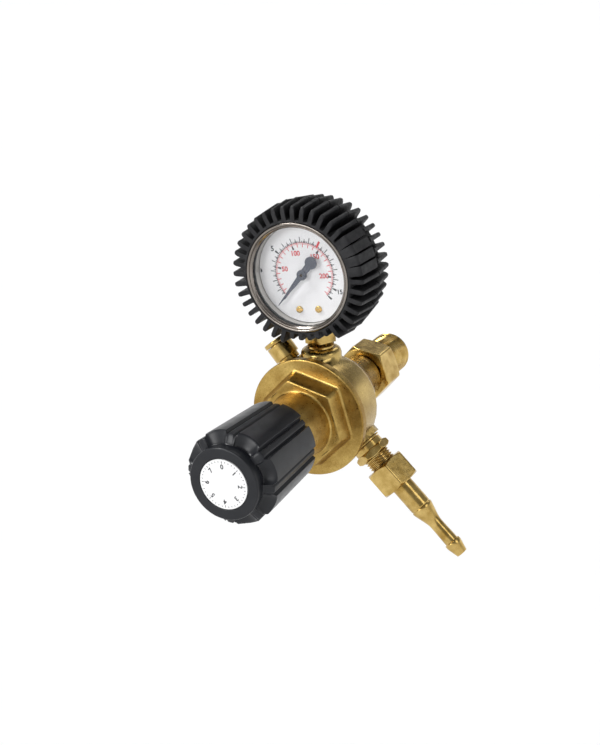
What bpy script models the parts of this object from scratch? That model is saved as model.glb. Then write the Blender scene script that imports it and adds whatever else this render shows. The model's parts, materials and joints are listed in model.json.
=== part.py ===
"""Single-stage propane regulator: knob, bonnet, body, booted gauge, relief valve, inlet nut and hose tail.

Units are metres and +Z points up to the gauge. The main axis is the Y axis. The origin is the centre of
the inlet thread's end, and the adjusting knob points to -Y. Angles round the main axis are counted
clockwise from +Z as seen from the knob.
"""
import bpy
import bmesh
from math import cos, pi, radians, sin, sqrt
from mathutils import Matrix, Vector

# Fits
GAP = 0.0003                    # between faces that bear on each other
RUN = 0.0004                    # between pieces that turn or slide in each other
FINE_RUN = 0.00025              # between the small pieces of the gauge movement
THREAD_FIT = 0.0003             # between a screw's outside and its threaded hole

# Nuts
NUT_CHAMFER_SLOPE = 0.777        # how far back the corners are turned off, for each unit inwards
NUT_WASHER_SHARE = 0.985         # the washer face, as a share of the width across the flats
TOOL_OVERSIZE = 1.02

# Inlet nut and stem
INLET_THREAD_RADIUS = 0.01045
INLET_THREAD_LENGTH = 0.0215
INLET_THREAD_CHAMFER = 0.0012
INLET_HEX_ACROSS = 0.0260
INLET_HEX_LENGTH = 0.0155
INLET_HEX_ANGLE = radians(-17.0)
INLET_NUT_PLAY = 0.0010
INLET_STEM_RADIUS = 0.0060
INLET_STEM_BORE_RADIUS = 0.0025
INLET_HEAD_RADIUS = 0.0080
INLET_HEAD_LENGTH = 0.0067
INLET_HEAD_RECESS = 0.0005
INLET_STEM_SCREWED = 0.0110
INLET_NOSE = ((1.0, 0.35), (0.86, 0.75), (0.58, 1.0))   # shares of the head's radius and length

# Body
BODY_WALL = 0.0023              # round the bonnet's thread
BODY_RIM_CHAMFER = 0.0006
BODY_BARREL_LENGTH = 0.0200
BODY_SHOULDER_POWER = 1.05       # 1 gives a cone, more gives a rounder shoulder
BODY_SHOULDER_STEPS = 5
INLET_BOSS_RADIUS = 0.01085
INLET_BOSS_LENGTH = 0.0100
BONNET_THREAD_DEPTH = 0.0080
CHAMBER_RADIUS = 0.0180
CHAMBER_LEDGE = 0.0040          # that the diaphragm is clamped on
CHAMBER_DEPTH = 0.0140
SEAT_BOSS_RADIUS = 0.0090
SEAT_BOSS_HEIGHT = 0.0085
SEAT_BORE_RADIUS = 0.0053

# Bonnet
FLANGE_OVERHANG = 0.0038        # past the body
FLANGE_THICKNESS = 0.0037
FLANGE_EDGE = 0.0009
FORGED_HEX_RADIUS = 0.02125
FORGED_HEX_HEIGHT = 0.0076
FORGED_HEX_DRAFT = 0.0017
FORGED_HEX_ANGLE = radians(-13.6)
NECK_RADIUS = 0.0153
NECK_TAPER = 0.0005
NECK_LENGTH = 0.0460
SPRING_CAVITY_RADIUS = 0.0116
SCREW_BORE_LENGTH = 0.0110

# Knob and adjusting screw
KNOB_END_WALL = 0.0088          # from the knob's face to the screw's head in it
KNOB_STAND_OFF = 0.0224
KNOB_FACE_RADIUS = 0.0161
KNOB_FRONT_RADIUS = 0.0212
KNOB_REAR_RADIUS = 0.0194
KNOB_LOBES = 8
KNOB_LOBE_ANGLE = radians(28.5)
KNOB_POCKET_SHARE = 0.20         # half widths as shares of the pitch from lobe to lobe
KNOB_LOBE_SHARE = 0.333
KNOB_GROOVE_SHARE = 0.382
KNOB_BEAD_SHARE = 0.431
KNOB_GROOVE_DEPTH = 0.0014
KNOB_RIM_LENGTH = 0.0016
KNOB_BEAD_START = 0.0052         # behind the face
KNOB_LOBE_START = 0.0086
KNOB_EDGE = 0.0008
LABEL_RADIUS = 0.0111
LABEL_THICKNESS = 0.0008
SCREW_RADIUS = 0.0060
SCREW_PITCH = 0.0015
SCREW_TURNS = 5
SCREW_HEAD_RADIUS = 0.0080
SCREW_HEAD_LENGTH = 0.0065
SCREW_LENGTH = 0.0232
BUTTON_THICKNESS = 0.0030
BUTTON_SPIGOT_LENGTH = 0.0030

# Springs
RANGE_WIRE = 0.0026
RANGE_COILS = 8
VALVE_WIRE = 0.0008
VALVE_SPRING_RADIUS = 0.0032
VALVE_COILS = 4
RELIEF_WIRE = 0.0006
RELIEF_SPRING_RADIUS = 0.0026
RELIEF_COILS = 3

# Diaphragm and valve
DIAPHRAGM_THICKNESS = 0.0014
SLIP_RING_THICKNESS = 0.0010
PLATE_RADIUS = 0.0150
PLATE_THICKNESS = 0.0025
PLATE_RIM_HEIGHT = 0.0030
PLATE_RIM_WIDTH = 0.0016
PLATE_NUT_ACROSS = 0.0070
PLATE_NUT_THICKNESS = 0.0028
PUSHER_RADIUS = 0.0075
PUSHER_THICKNESS = 0.0016
PUSHER_STEM_RADIUS = 0.0022
PIN_RADIUS = 0.0012
NOZZLE_BORE_RADIUS = 0.0018
NOZZLE_ACROSS = 0.0130
NOZZLE_HEX_THICKNESS = 0.0020
NOZZLE_LENGTH = 0.0065
POPPET_RADIUS = 0.0040
POPPET_LENGTH = 0.0054
POPPET_NOSE_RADIUS = 0.0013
SEAT_PAD_THICKNESS = 0.0020
VALVE_SPRING_LENGTH = 0.0064
RETAINER_THICKNESS = 0.0015
FILTER_WALL = 0.0012
FILTER_LENGTH = 0.0077

# Outlet, in stations out from the main axis
OUTLET_ANGLE = radians(136.7)
OUTLET_SETBACK = 0.0225         # from the flange's front face to the outlet's axis
PORT_THREAD_RADIUS = 0.00658
PORT_THREAD_DEPTH = 0.0062
PORT_BORE_RADIUS = 0.0022
OUTLET_BOSS_RADIUS = 0.0090
OUTLET_BOSS_HEIGHT = 0.0012
OUTLET_WASHER_RADIUS = 0.0078
WASHER_THICKNESS = 0.0009
ADAPTER_ACROSS = 0.0160
ADAPTER_HEX_LENGTH = 0.0038
ADAPTER_COLLAR_RADIUS = 0.0074
ADAPTER_COLLAR_LENGTH = 0.0028
ADAPTER_HEX_ANGLE = radians(-3.0)
ADAPTER_THREAD_LENGTH = 0.0115
UNION_NUT_ACROSS = 0.0190
UNION_NUT_LENGTH = 0.0128
UNION_NUT_ANGLE = radians(27.0)
UNION_NUT_ENGAGED = 0.0059
UNION_NUT_WALL = 0.0040
BARB_COLLAR_LENGTH = 0.0023
BARB_BORE_RADIUS = 0.0016
BARB_SHANK_RADIUS = 0.0052
BARB_SHOULDER_RADIUS = 0.0054
BARB_SHANK_LENGTH = 0.0149
BARB_CONE_LENGTH = 0.0082
BARB_STEM_RADIUS = 0.0031
BARB_STEM_LENGTH = 0.0120
BARB_STEM_END_RADIUS = 0.00335
BARB_FLARE_RADIUS = 0.00405
BARB_LAND_LENGTH = 0.00185
BARB_TIP_RADIUS = 0.0027
BARB_TIP_LENGTH = 0.0074
SEAT_CONE_DEPTH = 0.0024

# Relief valve, in stations out from the main axis
RELIEF_ANGLE = radians(-37.0)
RELIEF_SETBACK = 0.0172         # from the flange's front face to the relief valve's axis
RELIEF_THREAD_RADIUS = 0.0040
RELIEF_BASE_RADIUS = 0.0052
RELIEF_BASE_LENGTH = 0.0024
RELIEF_BARREL_RADIUS = 0.0062
RELIEF_BARREL_LENGTH = 0.0076
RELIEF_BORE_RADIUS = 0.0042
RELIEF_FLOOR = 0.0016
RELIEF_HOLE_RADIUS = 0.0015
RELIEF_CAP_RADIUS = 0.0065
RELIEF_CAP_THICKNESS = 0.0020
RELIEF_SPIGOT_LENGTH = 0.0014
RELIEF_SPIGOT_WALL = 0.0006
RELIEF_BOSS_RADIUS = 0.0068
RELIEF_BOSS_HEIGHT = 0.0013
RELIEF_PAD_THICKNESS = 0.0010
RELIEF_POPPET_THICKNESS = 0.0015
RELIEF_GUIDE_RADIUS = 0.0012
RELIEF_GUIDE_LENGTH = 0.0020

# Gauge
GAUGE_FORWARD = 0.0011          # how far the bezel stands ahead of the bonnet's flange
GAUGE_BOSS_RADIUS = 0.0095
GAUGE_BOSS_EDGE = 0.0022
GAUGE_THREAD_RADIUS = 0.00486
GAUGE_BOSS_HEIGHT = 0.0042
STEM_SETBACK = 0.0185           # from the flange's front face to the gauge stem's axis
STEM_COLLAR_RADIUS = 0.0062
STEM_COLLAR_LENGTH = 0.0020
STEM_ACROSS = 0.0140
STEM_TURN = radians(28.0)
STEM_HEX_LENGTH = 0.0105
STEM_NECK_RADIUS = 0.0056
STEM_BLOCK_WIDTH = 0.0110
STEM_BLOCK_DEPTH = 0.0090
STEM_BLOCK_HEIGHT = 0.0088
BEZEL_RADIUS = 0.0250
BEZEL_LIP = 0.0024
BEZEL_LIP_THICKNESS = 0.0016
BEZEL_WALL = 0.0010
BEZEL_DEPTH = 0.0090
LENS_THICKNESS = 0.0015
GASKET_THICKNESS = 0.0008
CASE_WALL = 0.0008
CASE_DEPTH = 0.0290             # from the bezel's front to the case's back
DIAL_DEPTH = 0.00665            # from the bezel's front to the dial's face
DIAL_THICKNESS = 0.0006
DIAL_ROLL = radians(-4.5)        # the dial sits a little askew in its case
DIAL_SCREW_SPACING = 0.0096
DIAL_SCREW_INSET = 0.0061        # from the dial's lowest edge
DIAL_SCREW_RADIUS = 0.0016
DIAL_SCREW_HEAD = 0.0006
POINTER_LENGTH = 0.0183
POINTER_TAIL_LENGTH = 0.0108
POINTER_TAIL_WIDTH = 0.0060
POINTER_FLARE_LENGTH = 0.0058   # from the hub to where the tail is widest
POINTER_WAIST = 0.0064          # from the hub to where the needle is half as wide as its neck
POINTER_TIP_WIDTH = 0.00024
POINTER_NECK_WIDTH = 0.0034
POINTER_HUB_RADIUS = 0.0024
POINTER_THICKNESS = 0.0005
POINTER_LIFT = 0.0011           # from the dial's face to the pointer
POINTER_ZERO = radians(-135.0)
SHAFT_RADIUS = 0.0006
PINION_RADIUS = 0.00125
PINION_TEETH = 10
PLATE_GAP = 0.0041              # between the movement's two plates
MOVEMENT_PLATE = 0.0010
MOVEMENT_HALF_WIDTH = 0.0070
MOVEMENT_TOP = 0.0010
MOVEMENT_INSET = 0.0019         # from the case's wall below
SECTOR_RADIUS = 0.0108
SECTOR_TEETH = 9
SECTOR_HALF_ANGLE = radians(20.0)
SECTOR_RATIO = 8                # turns of the pointer for one turn of the sector
SECTOR_THICKNESS = 0.0014
SECTOR_TAIL = 0.0050
SECTOR_TAIL_SPREAD = 0.45        # half of the tail's end, as a share of its width
POINTER_SWEEP = radians(270.0)
TOOTH_HEIGHT = 0.0004
POST_RADIUS = 0.0010
LINK_THICKNESS = 0.0005
LINK_WIDTH = 0.0022
LINK_PIN_RADIUS = 0.0004
TUBE_RADIUS = 0.0168
TUBE_THICKNESS = 0.0018
TUBE_WIDTH = 0.0058
TUBE_START = radians(-152.0)
TUBE_END = radians(108.0)
TUBE_SHOULDER = 0.0012          # how far the flat sides stop short of the tube's width
TUBE_TIP_SIZE = 0.0026
BLOWOUT_HOLE_RADIUS = 0.0050
BLOWOUT_CAP_RADIUS = 0.0065
BLOWOUT_CAP_THICKNESS = 0.0012

# Gauge boot
BOOT_FINS = 40
BOOT_WALL = 0.0012
BOOT_FIN_THICKNESS = 0.0021
BOOT_TIP_THICKNESS = 0.0018
BOOT_KNEE_HEIGHT = 0.0059
BOOT_FIN_HEIGHT = 0.0069
BOOT_TAIL_HEIGHT = 0.0047
BOOT_KNEE_DEPTH = 0.0010
BOOT_KNEE_SHARE = 0.7            # of the fins' height, where their rounded front ends begin
BOOT_SHORT_HEIGHT = 0.0026
BOOT_SHORT_FROM = radians(149.0) # the fins over the stem are short between these angles
BOOT_SHORT_TO = radians(193.0)
BOOT_SLOT_FROM = radians(148.5)  # and the sleeve is open behind them
BOOT_SLOT_TO = radians(201.5)
BOOT_WAIST_DEPTH = 0.0151
BOOT_LENGTH = 0.0315
BOOT_LIP = 0.0037               # how far the boot reaches in behind the case
BOOT_SET_BACK = 0.0001          # from the bezel's front to the boot's front

# Facets and the distance that closes a turned surface
COARSE = 10
MEDIUM = 18
ROUND = 24
LARGE = 32
WIRE_SIDES = 5
COIL_STEPS = 8
TUBE_STEPS = 26
LINK_STEPS = 5
TAIL_STEPS = 4
MERGE = 0.000001
SHARP_ANGLE = radians(32.0)

# Fitted sizes of the body, along and across
NOZZLE_BACK_DEPTH = BONNET_THREAD_DEPTH + CHAMBER_DEPTH - SEAT_BOSS_HEIGHT - GAP + NOZZLE_LENGTH
RETAINER_DEPTH = NOZZLE_BACK_DEPTH + SEAT_PAD_THICKNESS + POPPET_LENGTH + VALVE_SPRING_LENGTH + 4 * GAP
BODY_LENGTH = RETAINER_DEPTH + RETAINER_THICKNESS + FILTER_LENGTH + INLET_STEM_SCREWED + 2 * GAP
BONNET_THREAD_RADIUS = CHAMBER_RADIUS + CHAMBER_LEDGE
BODY_RADIUS = BONNET_THREAD_RADIUS + BODY_WALL
FLANGE_RADIUS = BODY_RADIUS + FLANGE_OVERHANG

# Stations along the main axis
Y_NUT_BACK = -INLET_THREAD_LENGTH
Y_NUT_FRONT = Y_NUT_BACK - INLET_HEX_LENGTH
Y_BODY_REAR = Y_NUT_FRONT - INLET_NUT_PLAY
Y_BODY_FRONT = Y_BODY_REAR - BODY_LENGTH
Y_FLANGE_BACK = Y_BODY_FRONT - GAP
Y_FLANGE_FRONT = Y_FLANGE_BACK - FLANGE_THICKNESS
Y_HEX_FACE = Y_FLANGE_FRONT - FORGED_HEX_HEIGHT
Y_NECK_END = Y_HEX_FACE - NECK_LENGTH
Y_KNOB_REAR = Y_HEX_FACE - KNOB_STAND_OFF
SCREW_TRAVEL = SCREW_PITCH * SCREW_TURNS
Y_HEAD_REAR = Y_NECK_END - SCREW_TRAVEL - 2 * RUN
Y_HEAD_FRONT = Y_HEAD_REAR - SCREW_HEAD_LENGTH
Y_KNOB_FACE = Y_HEAD_FRONT - KNOB_END_WALL
Y_SCREW_TIP = Y_HEAD_REAR + SCREW_LENGTH
Y_BUTTON_FRONT = Y_SCREW_TIP + GAP
Y_BUTTON_BACK = Y_BUTTON_FRONT + BUTTON_THICKNESS
Y_CAVITY_FRONT = Y_NECK_END + SCREW_BORE_LENGTH
Y_LEDGE = Y_BODY_FRONT + BONNET_THREAD_DEPTH
Y_CHAMBER_FLOOR = Y_LEDGE + CHAMBER_DEPTH
Y_SEAT_BOSS = Y_CHAMBER_FLOOR - SEAT_BOSS_HEIGHT
Y_DIAPHRAGM_BACK = Y_LEDGE - GAP
Y_DIAPHRAGM_FRONT = Y_DIAPHRAGM_BACK - DIAPHRAGM_THICKNESS
Y_RING_BACK = Y_DIAPHRAGM_FRONT - GAP
Y_RING_FRONT = Y_RING_BACK - SLIP_RING_THICKNESS
Y_SKIRT_END = Y_RING_FRONT - GAP
Y_PLATE_BACK = Y_DIAPHRAGM_FRONT - GAP
Y_PLATE_FRONT = Y_PLATE_BACK - PLATE_THICKNESS
Y_PUSHER_FRONT = Y_DIAPHRAGM_BACK + GAP
Y_PUSHER_BACK = Y_PUSHER_FRONT + PUSHER_THICKNESS
Y_NOZZLE_SHOULDER = Y_SEAT_BOSS - GAP
Y_NOZZLE_FRONT = Y_NOZZLE_SHOULDER - NOZZLE_HEX_THICKNESS
Y_NOZZLE_BACK = Y_NOZZLE_SHOULDER + NOZZLE_LENGTH
Y_PAD_FRONT = Y_NOZZLE_BACK + GAP
Y_PAD_BACK = Y_PAD_FRONT + SEAT_PAD_THICKNESS
Y_POPPET_FRONT = Y_PAD_BACK + GAP
Y_POPPET_BACK = Y_POPPET_FRONT + POPPET_LENGTH
Y_RETAINER_FRONT = Y_POPPET_BACK + VALVE_SPRING_LENGTH + 2 * GAP
Y_FILTER_FRONT = Y_RETAINER_FRONT + RETAINER_THICKNESS + GAP
Y_STEM_FRONT = Y_BODY_REAR - INLET_STEM_SCREWED
Y_FILTER_BACK = Y_STEM_FRONT - GAP
Y_HEAD_SHOULDER = -INLET_HEAD_RECESS - INLET_HEAD_LENGTH
Y_OUTLET = Y_FLANGE_FRONT + OUTLET_SETBACK
Y_RELIEF = Y_FLANGE_FRONT + RELIEF_SETBACK
Y_GAUGE_STEM = Y_FLANGE_FRONT + STEM_SETBACK
Y_BEZEL_FRONT = Y_FLANGE_FRONT - GAUGE_FORWARD

# Fitted sizes along the main axis
NECK_TIP_RADIUS = NECK_RADIUS - NECK_TAPER
SKIRT_RADIUS = BONNET_THREAD_RADIUS - THREAD_FIT
SCREW_BORE_RADIUS = SCREW_RADIUS + THREAD_FIT
KNOB_BORE_RADIUS = NECK_RADIUS + RUN
Y_KNOB_CAVITY = Y_HEAD_REAR
BUTTON_RADIUS = SPRING_CAVITY_RADIUS - RUN
RANGE_SPRING_RADIUS = SPRING_CAVITY_RADIUS - RUN - RANGE_WIRE / 2
SPRING_GUIDE_RADIUS = RANGE_SPRING_RADIUS - RANGE_WIRE / 2 - RUN
STEM_BORE_RADIUS = INLET_STEM_RADIUS + THREAD_FIT

# Stations out along the outlet
R_OUTLET_BOSS = BODY_RADIUS + OUTLET_BOSS_HEIGHT
R_ADAPTER_SEAT = R_OUTLET_BOSS + WASHER_THICKNESS + 2 * GAP
R_ADAPTER_HEX = R_ADAPTER_SEAT + ADAPTER_COLLAR_LENGTH
R_ADAPTER_THREAD = R_ADAPTER_HEX + ADAPTER_HEX_LENGTH
R_ADAPTER_END = R_ADAPTER_THREAD + ADAPTER_THREAD_LENGTH
R_NUT_INNER = R_ADAPTER_END - UNION_NUT_ENGAGED
R_NUT_OUTER = R_NUT_INNER + UNION_NUT_LENGTH
R_NUT_SHOULDER = R_NUT_OUTER - UNION_NUT_WALL
R_COLLAR_OUTER = R_NUT_SHOULDER - GAP
R_COLLAR_INNER = R_COLLAR_OUTER - BARB_COLLAR_LENGTH
R_BARB_SHOULDER = R_NUT_OUTER + BARB_SHANK_LENGTH
R_BARB_CONE = R_BARB_SHOULDER + BARB_CONE_LENGTH
R_BARB_FLARE = R_BARB_CONE + BARB_STEM_LENGTH
R_BARB_TIP = R_BARB_FLARE + BARB_TIP_LENGTH

# Stations out along the relief valve
R_RELIEF_BOSS = BODY_RADIUS + RELIEF_BOSS_HEIGHT
R_RELIEF_BASE = R_RELIEF_BOSS + GAP
R_RELIEF_BARREL = R_RELIEF_BASE + RELIEF_BASE_LENGTH
R_RELIEF_RIM = R_RELIEF_BARREL + RELIEF_BARREL_LENGTH
R_RELIEF_CAP = R_RELIEF_RIM + GAP
R_RELIEF_FLOOR = R_RELIEF_BASE + RELIEF_FLOOR
R_RELIEF_PAD = R_RELIEF_FLOOR + GAP
R_RELIEF_POPPET = R_RELIEF_PAD + RELIEF_PAD_THICKNESS + GAP
R_RELIEF_SPRING = R_RELIEF_POPPET + RELIEF_POPPET_THICKNESS + GAP

# Heights along the gauge stem
GAUGE_BOSS_TOP = BODY_RADIUS + GAUGE_BOSS_HEIGHT
Z_COLLAR = GAUGE_BOSS_TOP + GAP
Z_STEM_SEAT = Z_COLLAR + WASHER_THICKNESS + GAP
Z_STEM_HEX = Z_STEM_SEAT + STEM_COLLAR_LENGTH
Z_STEM_NECK = Z_STEM_HEX + STEM_HEX_LENGTH
CASE_RADIUS = BEZEL_RADIUS - BEZEL_WALL - GAP
Z_GAUGE = Z_STEM_NECK + CASE_RADIUS + RUN
CASE_INNER_RADIUS = CASE_RADIUS - CASE_WALL
DIAL_RADIUS = CASE_INNER_RADIUS - GAP
DIAL_SCREW_DROP = DIAL_RADIUS - DIAL_SCREW_INSET
MOVEMENT_BOTTOM = CASE_INNER_RADIUS - MOVEMENT_INSET - MOVEMENT_HALF_WIDTH
BOOT_LIP_RADIUS = CASE_RADIUS - BOOT_LIP
Z_STEM_BLOCK = Z_GAUGE - sqrt(CASE_INNER_RADIUS ** 2 - (STEM_BLOCK_WIDTH / 2) ** 2) + RUN

# Depths behind the bezel's front, as stations along the main axis
Y_LENS_FRONT = Y_BEZEL_FRONT + BEZEL_LIP_THICKNESS + GAP
Y_LENS_BACK = Y_LENS_FRONT + LENS_THICKNESS
Y_CASE_FRONT = Y_LENS_BACK + GASKET_THICKNESS + 2 * GAP
Y_CASE_BACK = Y_BEZEL_FRONT + CASE_DEPTH
Y_DIAL = Y_BEZEL_FRONT + DIAL_DEPTH
Y_DIAL_BACK = Y_DIAL + DIAL_THICKNESS
Y_POINTER_BACK = Y_DIAL - POINTER_LIFT
Y_POINTER_FRONT = Y_POINTER_BACK - POINTER_THICKNESS
Y_BACK_PLATE = Y_GAUGE_STEM - STEM_BLOCK_DEPTH / 2 - GAP - MOVEMENT_PLATE
Y_FRONT_PLATE = Y_BACK_PLATE - PLATE_GAP - MOVEMENT_PLATE
Y_SECTOR = Y_FRONT_PLATE + MOVEMENT_PLATE + 3 * FINE_RUN
Y_LINK = Y_SECTOR + SECTOR_THICKNESS + FINE_RUN
SECTOR_DROP = SECTOR_RADIUS + PINION_RADIUS + FINE_RUN
BOOT_INNER_RADIUS = BEZEL_RADIUS + GAP
Y_BOOT_FRONT = Y_BEZEL_FRONT + BOOT_SET_BACK
Y_BOOT_BACK = Y_BOOT_FRONT + BOOT_LENGTH

# Finishes as colour, roughness and metallic value
FINISHES = {
    "forged_brass": ((0.62, 0.43, 0.13), 0.42, 1.0),
    "turned_brass": ((0.72, 0.54, 0.20), 0.28, 1.0),
    "bronze": ((0.50, 0.30, 0.12), 0.60, 1.0),
    "steel": ((0.62, 0.60, 0.56), 0.30, 1.0),
    "black_plastic": ((0.035, 0.037, 0.042), 0.38, 0.0),
    "rubber": ((0.022, 0.022, 0.024), 0.62, 0.0),
    "seal_rubber": ((0.05, 0.05, 0.05), 0.70, 0.0),
    "white_card": ((0.86, 0.86, 0.86), 0.50, 0.0),
    "white_dial": ((0.84, 0.84, 0.85), 0.45, 0.0),
    "slate": ((0.16, 0.18, 0.22), 0.50, 0.0),
    "lens": ((0.85, 0.88, 0.90), 0.05, 0.0),
}


def clear_scene():
    """Removes the objects that the file opened with."""
    for thing in list(bpy.data.objects):
        bpy.data.objects.remove(thing, do_unlink=True)


def empty_frame(name, place):
    """An empty that carries the pieces built round one axis."""
    frame = bpy.data.objects.new(name, None)
    frame.empty_display_size = 0.02
    frame.matrix_world = place
    bpy.context.scene.collection.objects.link(frame)
    return frame


def finish_material(name, finish):
    """A Principled material for one piece."""
    colour, roughness, metallic = FINISHES[finish]
    material = bpy.data.materials.new(name + "_finish")
    material.use_nodes = True
    shader = material.node_tree.nodes["Principled BSDF"]
    shader.inputs["Base Color"].default_value = (*colour, 1.0)
    shader.inputs["Roughness"].default_value = roughness
    shader.inputs["Metallic"].default_value = metallic
    return material


def add_object(name, bm, frame):
    """Turns a bmesh into an object that sits in the given frame."""
    bmesh.ops.recalc_face_normals(bm, faces=bm.faces)
    mesh = bpy.data.meshes.new(name)
    bm.to_mesh(mesh)
    bm.free()
    thing = bpy.data.objects.new(name, mesh)
    thing.parent = frame
    bpy.context.scene.collection.objects.link(thing)
    return thing


def weld(mesh):
    """Closes the hairline edges that a cut can leave."""
    bm = bmesh.new()
    bm.from_mesh(mesh)
    bmesh.ops.remove_doubles(bm, verts=bm.verts, dist=MERGE)
    bmesh.ops.dissolve_degenerate(bm, dist=MERGE, edges=bm.edges)
    bm.to_mesh(mesh)
    bm.free()


def combine(piece, tool, operation):
    """Joins a tool to a piece, cuts it away or keeps what both share, and removes the tool."""
    tool.hide_render = True
    tool.display_type = "WIRE"
    step = piece.modifiers.new("Combine", "BOOLEAN")
    step.operation = operation
    step.solver = "EXACT"
    step.object = tool
    bpy.context.view_layer.update()
    graph = bpy.context.evaluated_depsgraph_get()
    result = bpy.data.meshes.new_from_object(piece.evaluated_get(graph))
    weld(result)
    piece.modifiers.clear()
    piece.data = result
    bpy.data.objects.remove(tool, do_unlink=True)


def join(piece, *tools):
    for tool in tools:
        combine(piece, tool, "UNION")


def cut(piece, *tools):
    for tool in tools:
        combine(piece, tool, "DIFFERENCE")


def keep_shared(piece, tool):
    combine(piece, tool, "INTERSECT")


def finish(piece, look):
    """Gives a finished piece its material and its smooth shading."""
    piece.data.materials.clear()
    piece.data.materials.append(finish_material(piece.name, look))
    piece.data.shade_smooth()
    piece.data.set_sharp_from_angle(angle=SHARP_ANGLE)


def turned(name, profile, frame, segments=MEDIUM, centre=(0.0, 0.0)):
    """A round piece from (radius, height) points, either a closed loop or a chain that ends on the axis."""
    bm = bmesh.new()
    hollow = profile[0][0] > 0.0
    points = [bm.verts.new((radius, 0.0, height)) for radius, height in profile if radius > 0.0]
    edges = [bm.edges.new(pair) for pair in zip(points, points[1:])]
    if hollow:
        edges.append(bm.edges.new((points[-1], points[0])))
    bmesh.ops.spin(bm, geom=points + edges, axis=(0, 0, 1), cent=(0, 0, 0), angle=2 * pi, steps=segments)
    bmesh.ops.remove_doubles(bm, verts=bm.verts, dist=MERGE)
    if not hollow:
        bmesh.ops.holes_fill(bm, edges=[edge for edge in bm.edges if edge.is_boundary], sides=0)
    bmesh.ops.translate(bm, verts=bm.verts, vec=(centre[0], centre[1], 0.0))
    return add_object(name, bm, frame)


def cylinder(name, radius, low, high, frame, segments=MEDIUM, centre=(0.0, 0.0)):
    return turned(name, [(0.0, low), (radius, low), (radius, high), (0.0, high)], frame, segments, centre)


def ring(name, inner, outer, low, high, frame, segments=MEDIUM):
    return turned(name, [(inner, low), (outer, low), (outer, high), (inner, high)], frame, segments)


def lofted(name, rings, frame):
    """A solid skinned over rings that have as many points as each other, with a flat cap on each end."""
    bm = bmesh.new()
    loops = [[bm.verts.new(point) for point in points] for points in rings]
    for lower, upper in zip(loops, loops[1:]):
        count = len(lower)
        for i in range(count):
            j = (i + 1) % count
            bm.faces.new((lower[i], lower[j], upper[j], upper[i]))
    bm.faces.new(loops[0])
    bm.faces.new(loops[-1])
    return add_object(name, bm, frame)


def plate(name, outline, low, high, frame):
    """A flat piece with the given outline of (x, y) points."""
    return lofted(name, [[(x, y, height) for x, y in outline] for height in (low, high)], frame)


def rectangle(x, y, half_width, half_height):
    """The corners of a rectangle round a point."""
    signs = ((-1, -1), (1, -1), (1, 1), (-1, 1))
    return [(x + across * half_width, y + up * half_height) for across, up in signs]


def polar(radius, angle, height):
    """A point in a frame whose Z lies along the main axis, with the angle clockwise from world +Z."""
    return (radius * sin(angle), -radius * cos(angle), height)


def hexagon(name, across, low, high, frame, angle=0.0, top_across=None):
    """A hexagonal prism whose corner lies at the angle, tapered where the top has its own width."""
    widths = (across, top_across or across)
    rings = []
    for width, height in zip(widths, (low, high)):
        radius = width / sqrt(3)
        rings.append([polar(radius, angle + k * pi / 3, height) for k in range(6)])
    return lofted(name, rings, frame)


def chamfered_hexagon(name, across, low, high, frame, angle=0.0):
    """A nut's hexagon with its corners turned off."""
    nut = hexagon(name, across, low, high, frame, angle)
    corner = across / sqrt(3)
    flat = across / 2
    rise = (corner - flat) * NUT_CHAMFER_SLOPE
    over = corner * TOOL_OVERSIZE
    washer_face = flat * NUT_WASHER_SHARE
    profile = [(0.0, low - GAP), (washer_face, low - GAP), (over, low + rise), (over, high - rise),
               (washer_face, high + GAP), (0.0, high + GAP)]
    keep_shared(nut, turned("chamfer_tool", profile, frame, ROUND))
    return nut


def helix_points(radius, low, high, coils, steps):
    """The centre line of a coil spring."""
    total = coils * steps
    points = []
    for i in range(total + 1):
        turn = 2 * pi * i / steps
        points.append(Vector((radius * cos(turn), radius * sin(turn), low + (high - low) * i / total)))
    return points


def wire_along(name, centre_line, wire_radius, frame, sides=WIRE_SIDES):
    """Round wire that follows a coil round the frame's Z axis."""
    rings = []
    for i, point in enumerate(centre_line):
        before = centre_line[max(i - 1, 0)]
        after = centre_line[min(i + 1, len(centre_line) - 1)]
        along = (after - before).normalized()
        outward = Vector((point.x, point.y, 0.0)).normalized()
        up = along.cross(outward)
        rings.append([
            point + wire_radius * (cos(2 * pi * k / sides) * outward + sin(2 * pi * k / sides) * up)
            for k in range(sides)
        ])
    return lofted(name, rings, frame)


def coil_spring(name, radius, wire, low, high, coils, frame):
    line = helix_points(radius, low + wire / 2, high - wire / 2, coils, COIL_STEPS)
    return wire_along(name, line, wire / 2, frame)


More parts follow.
